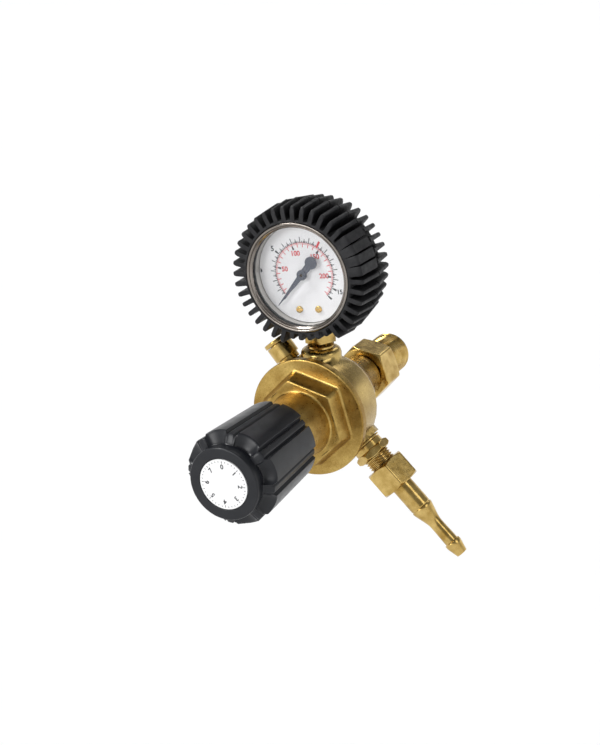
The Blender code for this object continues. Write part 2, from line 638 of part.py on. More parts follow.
def build_body(frame, stem_frame, outlet_frame, relief_frame):
    """The forged body with its chamber, valve boss, inlet boss and three ports."""
    y_dome = Y_BODY_FRONT + BODY_BARREL_LENGTH
    y_boss = Y_BODY_REAR - INLET_BOSS_LENGTH
    dome_length = y_boss - y_dome
    drop = BODY_RADIUS - INLET_BOSS_RADIUS
    profile = [(0.0, Y_BODY_FRONT), (BODY_RADIUS - BODY_RIM_CHAMFER, Y_BODY_FRONT),
               (BODY_RADIUS, Y_BODY_FRONT + BODY_RIM_CHAMFER)]
    for i in range(BODY_SHOULDER_STEPS + 1):
        t = i / BODY_SHOULDER_STEPS
        profile.append((BODY_RADIUS - drop * t ** BODY_SHOULDER_POWER, y_dome + dome_length * t))
    profile += [(INLET_BOSS_RADIUS, Y_BODY_REAR - BODY_RIM_CHAMFER),
                (INLET_BOSS_RADIUS - BODY_RIM_CHAMFER, Y_BODY_REAR), (0.0, Y_BODY_REAR)]
    body = turned("body", profile, frame, LARGE)
    wall = (CHAMBER_RADIUS + BODY_RADIUS) / 2
    edge = GAUGE_BOSS_EDGE
    radius, top = GAUGE_BOSS_RADIUS, GAUGE_BOSS_TOP
    profile = [(0.0, wall), (radius, wall), (radius, top - edge), (radius - edge / 3, top - edge / 3),
               (radius - edge, top), (0.0, top)]
    join(body, turned("gauge_boss", profile, stem_frame))
    join(body, cylinder("outlet_boss", OUTLET_BOSS_RADIUS, wall, R_OUTLET_BOSS, outlet_frame))
    join(body, cylinder("relief_boss", RELIEF_BOSS_RADIUS, wall, R_RELIEF_BOSS, relief_frame))
    over = GAP
    cavity = [
        (0.0, Y_BODY_FRONT - over), (BONNET_THREAD_RADIUS, Y_BODY_FRONT - over),
        (BONNET_THREAD_RADIUS, Y_LEDGE), (CHAMBER_RADIUS, Y_LEDGE),
        (CHAMBER_RADIUS, Y_CHAMBER_FLOOR), (SEAT_BOSS_RADIUS, Y_CHAMBER_FLOOR),
        (SEAT_BOSS_RADIUS, Y_SEAT_BOSS), (SEAT_BORE_RADIUS, Y_SEAT_BOSS),
        (SEAT_BORE_RADIUS, Y_STEM_FRONT - GAP), (STEM_BORE_RADIUS, Y_STEM_FRONT - GAP),
        (STEM_BORE_RADIUS, Y_BODY_REAR + over), (0.0, Y_BODY_REAR + over),
    ]
    cut(body, turned("cavity_tool", cavity, frame, LARGE))
    floor = GAUGE_BOSS_TOP - PORT_THREAD_DEPTH - GAP
    cut(body, port_tool(GAUGE_THREAD_RADIUS + THREAD_FIT, floor, GAUGE_BOSS_TOP, stem_frame))
    floor = R_OUTLET_BOSS - PORT_THREAD_DEPTH + GAP
    cut(body, port_tool(PORT_THREAD_RADIUS + THREAD_FIT, floor, R_OUTLET_BOSS, outlet_frame))
    floor = R_RELIEF_BOSS - PORT_THREAD_DEPTH + GAP
    cut(body, port_tool(RELIEF_THREAD_RADIUS + THREAD_FIT, floor, R_RELIEF_BOSS, relief_frame))
    finish(body, "forged_brass")


def port_tool(radius, floor, top, frame):
    """A threaded port with a smaller hole through its floor into the chamber."""
    inside = CHAMBER_RADIUS - SEAT_BOSS_RADIUS / 3
    profile = [(0.0, inside), (PORT_BORE_RADIUS, inside), (PORT_BORE_RADIUS, floor), (radius, floor),
               (radius, top + GAP), (0.0, top + GAP)]
    return turned("port_tool", profile, frame, MEDIUM)


def build_bonnet(frame):
    """The forged spring bonnet: neck, forged hexagon, flange and threaded skirt."""
    outer = [
        (0.0, Y_NECK_END), (NECK_TIP_RADIUS - FLANGE_EDGE, Y_NECK_END),
        (NECK_TIP_RADIUS, Y_NECK_END + FLANGE_EDGE), (NECK_RADIUS, Y_HEX_FACE),
        (NECK_RADIUS, Y_FLANGE_FRONT), (FLANGE_RADIUS - FLANGE_EDGE, Y_FLANGE_FRONT),
        (FLANGE_RADIUS - FLANGE_EDGE / 4, Y_FLANGE_FRONT + FLANGE_EDGE / 3),
        (FLANGE_RADIUS, Y_FLANGE_FRONT + FLANGE_EDGE), (FLANGE_RADIUS, Y_FLANGE_BACK - FLANGE_EDGE / 2),
        (FLANGE_RADIUS - FLANGE_EDGE / 2, Y_FLANGE_BACK), (SKIRT_RADIUS, Y_FLANGE_BACK),
        (SKIRT_RADIUS, Y_SKIRT_END), (0.0, Y_SKIRT_END),
    ]
    bonnet = turned("bonnet", outer, frame, LARGE)
    root = (FORGED_HEX_RADIUS + FORGED_HEX_DRAFT) * sqrt(3)
    crest = FORGED_HEX_RADIUS * sqrt(3)
    y_root = Y_FLANGE_FRONT + FLANGE_THICKNESS / 2
    join(bonnet, hexagon("forged_hex", crest, Y_HEX_FACE, y_root, frame, FORGED_HEX_ANGLE, root))
    mouth = CHAMBER_RADIUS
    y_mouth = Y_FLANGE_FRONT + FLANGE_THICKNESS / 3
    cavity = [
        (0.0, Y_NECK_END - GAP), (SCREW_BORE_RADIUS, Y_NECK_END - GAP),
        (SCREW_BORE_RADIUS, Y_CAVITY_FRONT), (SPRING_CAVITY_RADIUS, Y_CAVITY_FRONT),
        (SPRING_CAVITY_RADIUS, Y_HEX_FACE + FORGED_HEX_HEIGHT / 2), (mouth, y_mouth),
        (mouth, Y_SKIRT_END + GAP), (0.0, Y_SKIRT_END + GAP),
    ]
    cut(bonnet, turned("cavity_tool", cavity, frame, LARGE))
    finish(bonnet, "forged_brass")


def knob_ring(height, middle, flank, bead, groove):
    """One section of the knob: broad lobes with a narrow bead in the groove between each pair."""
    pattern = [
        (-KNOB_LOBE_SHARE, flank), (-KNOB_POCKET_SHARE, middle), (KNOB_POCKET_SHARE, middle),
        (KNOB_LOBE_SHARE, flank), (KNOB_GROOVE_SHARE, groove), (KNOB_BEAD_SHARE, bead),
        (1 - KNOB_BEAD_SHARE, bead), (1 - KNOB_GROOVE_SHARE, groove),
    ]
    pitch = 2 * pi / KNOB_LOBES
    points = []
    for k in range(KNOB_LOBES):
        for share, radius in pattern:
            points.append(polar(radius, KNOB_LOBE_ANGLE + (k + share) * pitch, height))
    return points


def build_knob(frame):
    """The moulded knob, hollow at its rear where it passes over the bonnet's neck."""
    face, front, rear = KNOB_FACE_RADIUS, KNOB_FRONT_RADIUS, KNOB_REAR_RADIUS
    deep = KNOB_GROOVE_DEPTH
    edge = KNOB_EDGE
    rim = face - edge
    y_bead = Y_KNOB_FACE + KNOB_BEAD_START
    y_lobe = Y_KNOB_FACE + KNOB_LOBE_START
    rings = [
        knob_ring(Y_KNOB_FACE, rim, rim, rim, rim),
        knob_ring(Y_KNOB_FACE + edge, face, face, face, face),
        knob_ring(Y_KNOB_FACE + KNOB_RIM_LENGTH, face, face, face, face),
        knob_ring(y_bead, face, front - deep, front - deep, front - 2 * deep),
        knob_ring(y_bead + edge, face + edge / 2, front - edge, front - deep / 2, front - deep - edge / 2),
        knob_ring(y_lobe - edge, face + edge, front - edge / 2, front - deep / 2, front - deep),
        knob_ring(y_lobe, front - edge, front - edge / 4, front - deep / 2, front - deep),
        knob_ring(y_lobe + 2 * edge, front, front - edge / 4, front - deep / 2, front - deep),
        knob_ring(Y_KNOB_REAR - edge, rear, rear - edge / 4, rear - deep / 2, rear - deep),
        knob_ring(Y_KNOB_REAR, rear - edge / 2, rear - edge / 2, rear - deep, rear - deep - edge / 4),
    ]
    knob = lofted("adjusting_knob", rings, frame)
    bore = [
        (0.0, Y_HEAD_FRONT - GAP), (SCREW_HEAD_RADIUS + GAP, Y_HEAD_FRONT - GAP),
        (SCREW_HEAD_RADIUS + GAP, Y_KNOB_CAVITY), (KNOB_BORE_RADIUS, Y_KNOB_CAVITY),
        (KNOB_BORE_RADIUS, Y_KNOB_REAR + GAP), (0.0, Y_KNOB_REAR + GAP),
    ]
    cut(knob, turned("bore_tool", bore, frame, ROUND))
    y_label = Y_KNOB_FACE + LABEL_THICKNESS
    cut(knob, cylinder("label_tool", LABEL_RADIUS + GAP, Y_KNOB_FACE - GAP, y_label + GAP, frame, ROUND))
    finish(knob, "black_plastic")
    label = cylinder("knob_label", LABEL_RADIUS, Y_KNOB_FACE, y_label, frame, ROUND)
    finish(label, "white_card")


def build_pressure_screw(frame):
    """The adjusting screw in the knob, the button at its tip and the range spring under it."""
    tip = SCREW_RADIUS / 2
    profile = [
        (0.0, Y_HEAD_FRONT), (SCREW_HEAD_RADIUS, Y_HEAD_FRONT), (SCREW_HEAD_RADIUS, Y_HEAD_REAR),
        (SCREW_RADIUS, Y_HEAD_REAR), (SCREW_RADIUS, Y_SCREW_TIP - tip / 2), (tip, Y_SCREW_TIP),
        (0.0, Y_SCREW_TIP),
    ]
    finish(turned("adjusting_screw", profile, frame, MEDIUM), "steel")
    spigot = Y_BUTTON_BACK + BUTTON_SPIGOT_LENGTH
    profile = [
        (0.0, Y_BUTTON_FRONT), (BUTTON_RADIUS, Y_BUTTON_FRONT), (BUTTON_RADIUS, Y_BUTTON_BACK),
        (SPRING_GUIDE_RADIUS, Y_BUTTON_BACK), (SPRING_GUIDE_RADIUS, spigot), (0.0, spigot),
    ]
    finish(turned("spring_button", profile, frame, MEDIUM), "turned_brass")
    low, high = Y_BUTTON_BACK + GAP, Y_PLATE_FRONT - GAP
    spring = coil_spring("range_spring", RANGE_SPRING_RADIUS, RANGE_WIRE, low, high, RANGE_COILS, frame)
    finish(spring, "steel")


def build_diaphragm(frame):
    """The diaphragm with the plate, nut and pusher that clamp its centre, and its slip ring."""
    edge = BONNET_THREAD_RADIUS - RUN
    stem_hole = PUSHER_STEM_RADIUS + GAP
    diaphragm = ring("diaphragm", stem_hole, edge, Y_DIAPHRAGM_FRONT, Y_DIAPHRAGM_BACK, frame, ROUND)
    finish(diaphragm, "seal_rubber")
    finish(ring("slip_ring", CHAMBER_RADIUS, edge, Y_RING_FRONT, Y_RING_BACK, frame, ROUND), "steel")
    rim_outer = SPRING_GUIDE_RADIUS
    rim_inner = rim_outer - PLATE_RIM_WIDTH
    y_rim = Y_PLATE_FRONT - PLATE_RIM_HEIGHT
    profile = [
        (stem_hole, Y_PLATE_BACK), (PLATE_RADIUS, Y_PLATE_BACK), (PLATE_RADIUS, Y_PLATE_FRONT),
        (rim_outer, Y_PLATE_FRONT), (rim_outer, y_rim), (rim_inner, y_rim),
        (rim_inner, Y_PLATE_FRONT), (stem_hole, Y_PLATE_FRONT),
    ]
    finish(turned("diaphragm_plate", profile, frame, MEDIUM), "turned_brass")
    y_nut_back = Y_PLATE_FRONT - GAP
    y_nut_front = y_nut_back - PLATE_NUT_THICKNESS
    nut = hexagon("plate_nut", PLATE_NUT_ACROSS, y_nut_front, y_nut_back, frame)
    cut(nut, cylinder("hole_tool", stem_hole, y_nut_front - GAP, y_nut_back + GAP, frame, COARSE))
    finish(nut, "steel")
    y_stem = y_nut_front - GAP
    profile = [
        (0.0, Y_PUSHER_BACK), (PUSHER_RADIUS, Y_PUSHER_BACK), (PUSHER_RADIUS, Y_PUSHER_FRONT),
        (PUSHER_STEM_RADIUS, Y_PUSHER_FRONT), (PUSHER_STEM_RADIUS, y_stem), (0.0, y_stem),
    ]
    finish(turned("pusher", profile, frame, MEDIUM), "turned_brass")


def build_valve(frame):
    """The main valve: nozzle, pin, poppet with its seat pad, spring, retainer and inlet filter."""
    nozzle = hexagon("valve_nozzle", NOZZLE_ACROSS, Y_NOZZLE_FRONT, Y_NOZZLE_SHOULDER, frame)
    shank = SEAT_BORE_RADIUS - THREAD_FIT
    lip = NOZZLE_BORE_RADIUS + FINE_RUN * 2
    profile = [
        (0.0, Y_NOZZLE_FRONT + GAP), (shank, Y_NOZZLE_FRONT + GAP), (shank, Y_NOZZLE_BACK - 2 * GAP),
        (lip, Y_NOZZLE_BACK), (0.0, Y_NOZZLE_BACK),
    ]
    join(nozzle, turned("shank_tool", profile, frame, MEDIUM))
    bore = cylinder("hole_tool", NOZZLE_BORE_RADIUS, Y_NOZZLE_FRONT - GAP, Y_NOZZLE_BACK + GAP, frame, COARSE)
    cut(nozzle, bore)
    finish(nozzle, "turned_brass")
    finish(cylinder("valve_pin", PIN_RADIUS, Y_PUSHER_BACK + GAP, Y_NOZZLE_BACK, frame, COARSE), "steel")
    nose = POPPET_NOSE_RADIUS
    pad = ring("valve_seat_pad", nose + GAP, POPPET_RADIUS - GAP, Y_PAD_FRONT, Y_PAD_BACK, frame, COARSE)
    finish(pad, "seal_rubber")
    guide = VALVE_SPRING_RADIUS - VALVE_WIRE / 2 - FINE_RUN
    y_guide = Y_POPPET_BACK + VALVE_SPRING_LENGTH / 2
    profile = [
        (0.0, Y_NOZZLE_BACK + GAP), (nose, Y_NOZZLE_BACK + GAP), (nose, Y_POPPET_FRONT),
        (POPPET_RADIUS, Y_POPPET_FRONT), (POPPET_RADIUS, Y_POPPET_BACK), (guide, Y_POPPET_BACK),
        (guide, y_guide), (0.0, y_guide),
    ]
    finish(turned("valve_poppet", profile, frame, COARSE), "turned_brass")
    low, high = Y_POPPET_BACK + GAP, Y_RETAINER_FRONT - GAP
    spring = coil_spring("valve_spring", VALVE_SPRING_RADIUS, VALVE_WIRE, low, high, VALVE_COILS, frame)
    finish(spring, "steel")
    outer = SEAT_BORE_RADIUS - THREAD_FIT
    hole = PORT_BORE_RADIUS
    y_back = Y_RETAINER_FRONT + RETAINER_THICKNESS
    finish(ring("valve_retainer", hole, outer, Y_RETAINER_FRONT, y_back, frame), "turned_brass")
    profile = [
        (0.0, Y_FILTER_FRONT), (outer, Y_FILTER_FRONT), (outer, Y_FILTER_BACK),
        (outer - FILTER_WALL, Y_FILTER_BACK), (outer - FILTER_WALL, Y_FILTER_FRONT + FILTER_WALL),
        (0.0, Y_FILTER_FRONT + FILTER_WALL),
    ]
    finish(turned("inlet_filter", profile, frame), "bronze")


def build_inlet(frame):
    """The inlet stem with its ball nose, and the threaded nut that turns on it."""
    head = INLET_HEAD_RADIUS
    bore = INLET_STEM_BORE_RADIUS
    profile = [
        (bore, Y_STEM_FRONT), (INLET_STEM_RADIUS, Y_STEM_FRONT), (INLET_STEM_RADIUS, Y_HEAD_SHOULDER),
        (head, Y_HEAD_SHOULDER),
    ]
    profile += [(head * wide, Y_HEAD_SHOULDER + INLET_HEAD_LENGTH * far) for wide, far in INLET_NOSE]
    profile.append((bore, -INLET_HEAD_RECESS))
    finish(turned("inlet_stem", profile, frame, MEDIUM), "turned_brass")
    nut = chamfered_hexagon("inlet_nut", INLET_HEX_ACROSS, Y_NUT_FRONT, Y_NUT_BACK, frame, INLET_HEX_ANGLE)
    thread = INLET_THREAD_RADIUS
    chamfer = INLET_THREAD_CHAMFER
    y_root = Y_NUT_BACK - INLET_HEX_LENGTH / 2
    profile = [(0.0, y_root), (thread, y_root), (thread, -chamfer), (thread - chamfer, 0.0), (0.0, 0.0)]
    join(nut, turned("thread_tool", profile, frame, ROUND))
    y_shoulder = Y_HEAD_SHOULDER - GAP
    bore = [
        (0.0, Y_NUT_FRONT - GAP), (INLET_STEM_RADIUS + RUN, Y_NUT_FRONT - GAP),
        (INLET_STEM_RADIUS + RUN, y_shoulder), (head + RUN, y_shoulder), (head + RUN, GAP), (0.0, GAP),
    ]
    cut(nut, turned("bore_tool", bore, frame, MEDIUM))
    finish(nut, "turned_brass")


def build_outlet(frame):
    """The outlet adapter with its washer, the union nut and the hose tail that the nut holds."""
    thread = PORT_THREAD_RADIUS
    low = R_OUTLET_BOSS + GAP
    washer = ring("outlet_washer", thread + GAP, OUTLET_WASHER_RADIUS, low, low + WASHER_THICKNESS, frame)
    finish(washer, "turned_brass")
    adapter = chamfered_hexagon("outlet_adapter", ADAPTER_ACROSS, R_ADAPTER_HEX, R_ADAPTER_THREAD, frame,
                                ADAPTER_HEX_ANGLE)
    collar = ADAPTER_COLLAR_RADIUS
    join(adapter, cylinder("collar_tool", collar, R_ADAPTER_SEAT, R_ADAPTER_HEX + GAP * 2, frame))
    inner_end = R_OUTLET_BOSS - PORT_THREAD_DEPTH + 2 * GAP
    edge = GAP * 2
    profile = [(0.0, inner_end), (thread, inner_end), (thread, R_ADAPTER_END - edge),
               (thread - edge, R_ADAPTER_END), (0.0, R_ADAPTER_END)]
    join(adapter, turned("thread_tool", profile, frame, MEDIUM))
    seat = PORT_BORE_RADIUS + SEAT_CONE_DEPTH
    profile = [
        (0.0, inner_end - GAP), (PORT_BORE_RADIUS, inner_end - GAP),
        (PORT_BORE_RADIUS, R_ADAPTER_END - SEAT_CONE_DEPTH), (seat, R_ADAPTER_END),
        (seat, R_ADAPTER_END + GAP), (0.0, R_ADAPTER_END + GAP),
    ]
    cut(adapter, turned("bore_tool", profile, frame, MEDIUM))
    finish(adapter, "turned_brass")
    nut = chamfered_hexagon("union_nut", UNION_NUT_ACROSS, R_NUT_INNER, R_NUT_OUTER, frame, UNION_NUT_ANGLE)
    bore = thread + THREAD_FIT
    neck = BARB_SHANK_RADIUS + RUN
    profile = [(0.0, R_NUT_INNER - GAP), (bore, R_NUT_INNER - GAP), (bore, R_NUT_SHOULDER),
               (neck, R_NUT_SHOULDER), (neck, R_NUT_OUTER + GAP), (0.0, R_NUT_OUTER + GAP)]
    cut(nut, turned("bore_tool", profile, frame, MEDIUM))
    finish(nut, "turned_brass")
    build_hose_tail(frame)


def build_hose_tail(frame):
    """The turned hose tail with its cone nose, collar, shoulder, taper and barb."""
    bore = BARB_BORE_RADIUS
    nose = R_ADAPTER_END - SEAT_CONE_DEPTH + GAP
    nose_radius = PORT_BORE_RADIUS - GAP / 2
    collar = PORT_THREAD_RADIUS - GAP
    cone_top = nose_radius + R_COLLAR_INNER - nose
    flare = BARB_FLARE_RADIUS
    profile = [
        (bore, nose), (nose_radius, nose), (cone_top, R_COLLAR_INNER), (collar, R_COLLAR_INNER),
        (collar, R_COLLAR_OUTER), (BARB_SHANK_RADIUS, R_COLLAR_OUTER),
        (BARB_SHANK_RADIUS, R_BARB_SHOULDER - GAP * 4), (BARB_SHOULDER_RADIUS, R_BARB_SHOULDER - GAP * 3),
        (BARB_SHOULDER_RADIUS, R_BARB_SHOULDER), (BARB_STEM_RADIUS, R_BARB_CONE),
        (BARB_STEM_END_RADIUS, R_BARB_FLARE), (flare, R_BARB_FLARE + GAP),
        (flare, R_BARB_FLARE + BARB_LAND_LENGTH),
        (BARB_TIP_RADIUS, R_BARB_TIP), (bore, R_BARB_TIP),
    ]
    finish(turned("hose_tail", profile, frame, MEDIUM), "turned_brass")


def build_relief_valve(frame):
    """The spring-loaded relief valve on the low-pressure chamber."""
    thread_end = R_RELIEF_BOSS - PORT_THREAD_DEPTH + 2 * GAP
    hole = RELIEF_HOLE_RADIUS
    profile = [
        (hole, thread_end), (RELIEF_THREAD_RADIUS, thread_end), (RELIEF_THREAD_RADIUS, R_RELIEF_BASE),
        (RELIEF_BASE_RADIUS, R_RELIEF_BASE), (RELIEF_BASE_RADIUS, R_RELIEF_BARREL),
        (RELIEF_BARREL_RADIUS, R_RELIEF_BARREL), (RELIEF_BARREL_RADIUS, R_RELIEF_RIM),
        (RELIEF_BORE_RADIUS, R_RELIEF_RIM), (RELIEF_BORE_RADIUS, R_RELIEF_FLOOR), (hole, R_RELIEF_FLOOR),
    ]
    finish(turned("relief_body", profile, frame), "turned_brass")
    pad = RELIEF_BORE_RADIUS - 2 * RUN
    pad_top = R_RELIEF_PAD + RELIEF_PAD_THICKNESS
    finish(cylinder("relief_seal", pad, R_RELIEF_PAD, pad_top, frame, COARSE), "seal_rubber")
    poppet = RELIEF_BORE_RADIUS - RUN
    poppet_top = R_RELIEF_POPPET + RELIEF_POPPET_THICKNESS
    guide = RELIEF_GUIDE_RADIUS
    profile = [
        (0.0, R_RELIEF_POPPET), (poppet, R_RELIEF_POPPET), (poppet, poppet_top), (guide, poppet_top),
        (guide, poppet_top + RELIEF_GUIDE_LENGTH), (0.0, poppet_top + RELIEF_GUIDE_LENGTH),
    ]
    finish(turned("relief_poppet", profile, frame, COARSE), "turned_brass")
    low, high = R_RELIEF_SPRING, R_RELIEF_CAP - GAP
    spring = coil_spring("relief_spring", RELIEF_SPRING_RADIUS, RELIEF_WIRE, low, high, RELIEF_COILS, frame)
    finish(spring, "steel")
    spigot = RELIEF_BORE_RADIUS - THREAD_FIT
    cap_top = R_RELIEF_CAP + RELIEF_CAP_THICKNESS
    edge = RELIEF_CAP_THICKNESS / 6
    profile = [
        (hole, R_RELIEF_CAP), (spigot - RELIEF_SPIGOT_WALL, R_RELIEF_CAP),
        (spigot - RELIEF_SPIGOT_WALL, R_RELIEF_CAP - RELIEF_SPIGOT_LENGTH),
        (spigot, R_RELIEF_CAP - RELIEF_SPIGOT_LENGTH), (spigot, R_RELIEF_CAP),
        (RELIEF_CAP_RADIUS, R_RELIEF_CAP), (RELIEF_CAP_RADIUS, cap_top - edge),
        (RELIEF_CAP_RADIUS - edge, cap_top), (hole, cap_top),
    ]
    finish(turned("relief_cap", profile, frame), "turned_brass")


def build_gauge_stem(frame):
    """The gauge's threaded stem with its hexagon, and the block inside the case that holds the tube."""
    washer_hole = GAUGE_THREAD_RADIUS + GAP
    washer_top = Z_COLLAR + WASHER_THICKNESS
    finish(ring("gauge_washer", washer_hole, STEM_COLLAR_RADIUS, Z_COLLAR, washer_top, frame), "turned_brass")
    stem = hexagon("gauge_stem", STEM_ACROSS, Z_STEM_HEX, Z_STEM_NECK, frame, STEM_TURN)
    thread_end = GAUGE_BOSS_TOP - PORT_THREAD_DEPTH
    profile = [(0.0, thread_end), (GAUGE_THREAD_RADIUS, thread_end), (GAUGE_THREAD_RADIUS, Z_STEM_SEAT),
               (STEM_COLLAR_RADIUS, Z_STEM_SEAT), (STEM_COLLAR_RADIUS, Z_STEM_HEX + GAP),
               (0.0, Z_STEM_HEX + GAP)]
    join(stem, turned("thread_tool", profile, frame))
    block_middle = Z_STEM_BLOCK + STEM_BLOCK_HEIGHT / 2
    join(stem, cylinder("neck_tool", STEM_NECK_RADIUS, Z_STEM_NECK - GAP, Z_STEM_BLOCK + GAP, frame, MEDIUM))
    outline = rectangle(0.0, 0.0, STEM_BLOCK_WIDTH / 2, STEM_BLOCK_DEPTH / 2)
    join(stem, plate("block_tool", outline, Z_STEM_BLOCK, Z_STEM_BLOCK + STEM_BLOCK_HEIGHT, frame))
    cut(stem, cylinder("hole_tool", RELIEF_HOLE_RADIUS, thread_end - GAP, block_middle, frame, COARSE))
    finish(stem, "turned_brass")


def build_gauge_shell(frame, stem_frame):
    """The gauge's case, bezel, lens, gasket and blow-out plug."""
    outer, inner = CASE_RADIUS, CASE_INNER_RADIUS
    y_floor = Y_CASE_BACK - CASE_WALL
    hole = BLOWOUT_HOLE_RADIUS
    profile = [
        (outer, Y_CASE_FRONT), (outer, Y_CASE_BACK - CASE_WALL), (outer - CASE_WALL, Y_CASE_BACK),
        (hole, Y_CASE_BACK), (hole, y_floor), (inner, y_floor), (inner, Y_CASE_FRONT),
    ]
    case = turned("gauge_case", profile, frame, LARGE)
    cut(case, cylinder("neck_tool", STEM_NECK_RADIUS + RUN, Z_STEM_HEX, Z_GAUGE - inner / 2, stem_frame))
    finish(case, "steel")
    lip_inner = BEZEL_RADIUS - BEZEL_LIP
    barrel_inner = BEZEL_RADIUS - BEZEL_WALL
    y_lip = Y_BEZEL_FRONT + BEZEL_LIP_THICKNESS
    y_back = Y_BEZEL_FRONT + BEZEL_DEPTH
    round_edge = BEZEL_LIP / 4
    profile = [
        (lip_inner, Y_BEZEL_FRONT + round_edge), (lip_inner + round_edge, Y_BEZEL_FRONT),
        (BEZEL_RADIUS - round_edge, Y_BEZEL_FRONT), (BEZEL_RADIUS, Y_BEZEL_FRONT + round_edge),
        (BEZEL_RADIUS, y_back), (barrel_inner, y_back), (barrel_inner, y_lip), (lip_inner, y_lip),
    ]
    finish(turned("gauge_bezel", profile, frame, LARGE), "steel")
    rim = barrel_inner - GAP
    finish(cylinder("gauge_lens", rim, Y_LENS_FRONT, Y_LENS_BACK, frame, LARGE), "lens")
    y_gasket = Y_LENS_BACK + GAP
    gasket = ring("lens_gasket", inner, rim, y_gasket, y_gasket + GASKET_THICKNESS, frame, LARGE)
    finish(gasket, "seal_rubber")
    plug = BLOWOUT_HOLE_RADIUS - GAP
    y_cap = Y_CASE_BACK + GAP
    cap = BLOWOUT_CAP_RADIUS
    profile = [
        (0.0, y_floor - CASE_WALL), (plug, y_floor - CASE_WALL), (plug, y_cap), (cap, y_cap),
        (cap - GAP, y_cap + BLOWOUT_CAP_THICKNESS), (0.0, y_cap + BLOWOUT_CAP_THICKNESS),
    ]
    finish(turned("blowout_plug", profile, frame), "seal_rubber")


def build_dial(frame):
    """The dial with its two screws, and the pointer at zero."""
    dial = cylinder("gauge_dial", DIAL_RADIUS, Y_DIAL, Y_DIAL_BACK, frame, LARGE)
    shaft_hole = cylinder("hole_tool", 2 * SHAFT_RADIUS, Y_DIAL - GAP, Y_DIAL_BACK + GAP, frame, COARSE)
    cut(dial, shaft_hole)
    shank = DIAL_SCREW_RADIUS / 2
    for side, name in ((-1, "dial_screw_left"), (1, "dial_screw_right")):
        centre = (side * DIAL_SCREW_SPACING / 2, DIAL_SCREW_DROP)
        hole = cylinder("hole_tool", shank + GAP, Y_DIAL - GAP, Y_DIAL_BACK + GAP, frame, COARSE, centre)
        cut(dial, hole)
        y_head = Y_DIAL - GAP - DIAL_SCREW_HEAD
        y_tip = Y_FRONT_PLATE + MOVEMENT_PLATE / 2
        profile = [
            (0.0, y_head), (DIAL_SCREW_RADIUS - GAP, y_head), (DIAL_SCREW_RADIUS, y_head + GAP),
            (DIAL_SCREW_RADIUS, Y_DIAL - GAP), (shank, Y_DIAL - GAP), (shank, y_tip), (0.0, y_tip),
        ]
        screw = turned(name, profile, frame, COARSE, centre)
        slot = rectangle(centre[0], centre[1], DIAL_SCREW_RADIUS + GAP, DIAL_SCREW_RADIUS / 4)
        cut(screw, plate("slot_tool", slot, y_head - GAP, y_head + GAP, frame))
        finish(screw, "turned_brass")
    finish(dial, "white_dial")
    build_pointer(frame)


def build_pointer(frame):
    """The pointer: needle, hub and flared tail, drawn along the zero mark."""
    along = POINTER_ZERO
    half_neck = POINTER_NECK_WIDTH / 2
    half_tail = POINTER_TAIL_WIDTH / 2
    round_end = POINTER_TAIL_LENGTH - half_tail
    side = [(POINTER_LENGTH, POINTER_TIP_WIDTH / 2), (POINTER_WAIST, half_neck / 2)]
    side += [(-POINTER_HUB_RADIUS, half_neck), (-POINTER_FLARE_LENGTH, half_tail)]
    for i in range(TAIL_STEPS):
        angle = pi / 2 * i / TAIL_STEPS
        side.append((-round_end - half_tail * sin(angle), half_tail * cos(angle)))
    outline = []
    for reach, width in side + [(reach, -width) for reach, width in reversed(side)]:
        x, y, _ = polar(1.0, along, 0.0)
        outline.append((reach * x - width * y, reach * y + width * x))
    pointer = plate("gauge_pointer", outline, Y_POINTER_FRONT, Y_POINTER_BACK, frame)
    y_front = Y_POINTER_FRONT - GAP
    y_back = Y_POINTER_BACK + GAP
    join(pointer, cylinder("hub_tool", POINTER_HUB_RADIUS, y_front, y_back, frame, MEDIUM))
    cut(pointer, cylinder("hole_tool", SHAFT_RADIUS + FINE_RUN, y_front - GAP, y_back + GAP, frame, COARSE))
    finish(pointer, "slate")


def stadium(top, bottom, half_width, steps=6):
    """The outline of a plate with round ends, long in the frame's Y."""
    outline = []
    for i in range(steps + 1):
        angle = pi * i / steps
        outline.append((half_width * cos(angle), bottom + half_width * sin(angle)))
    for i in range(steps + 1):
        angle = pi + pi * i / steps
        outline.append((half_width * cos(angle), top + half_width * sin(angle)))
    return outline


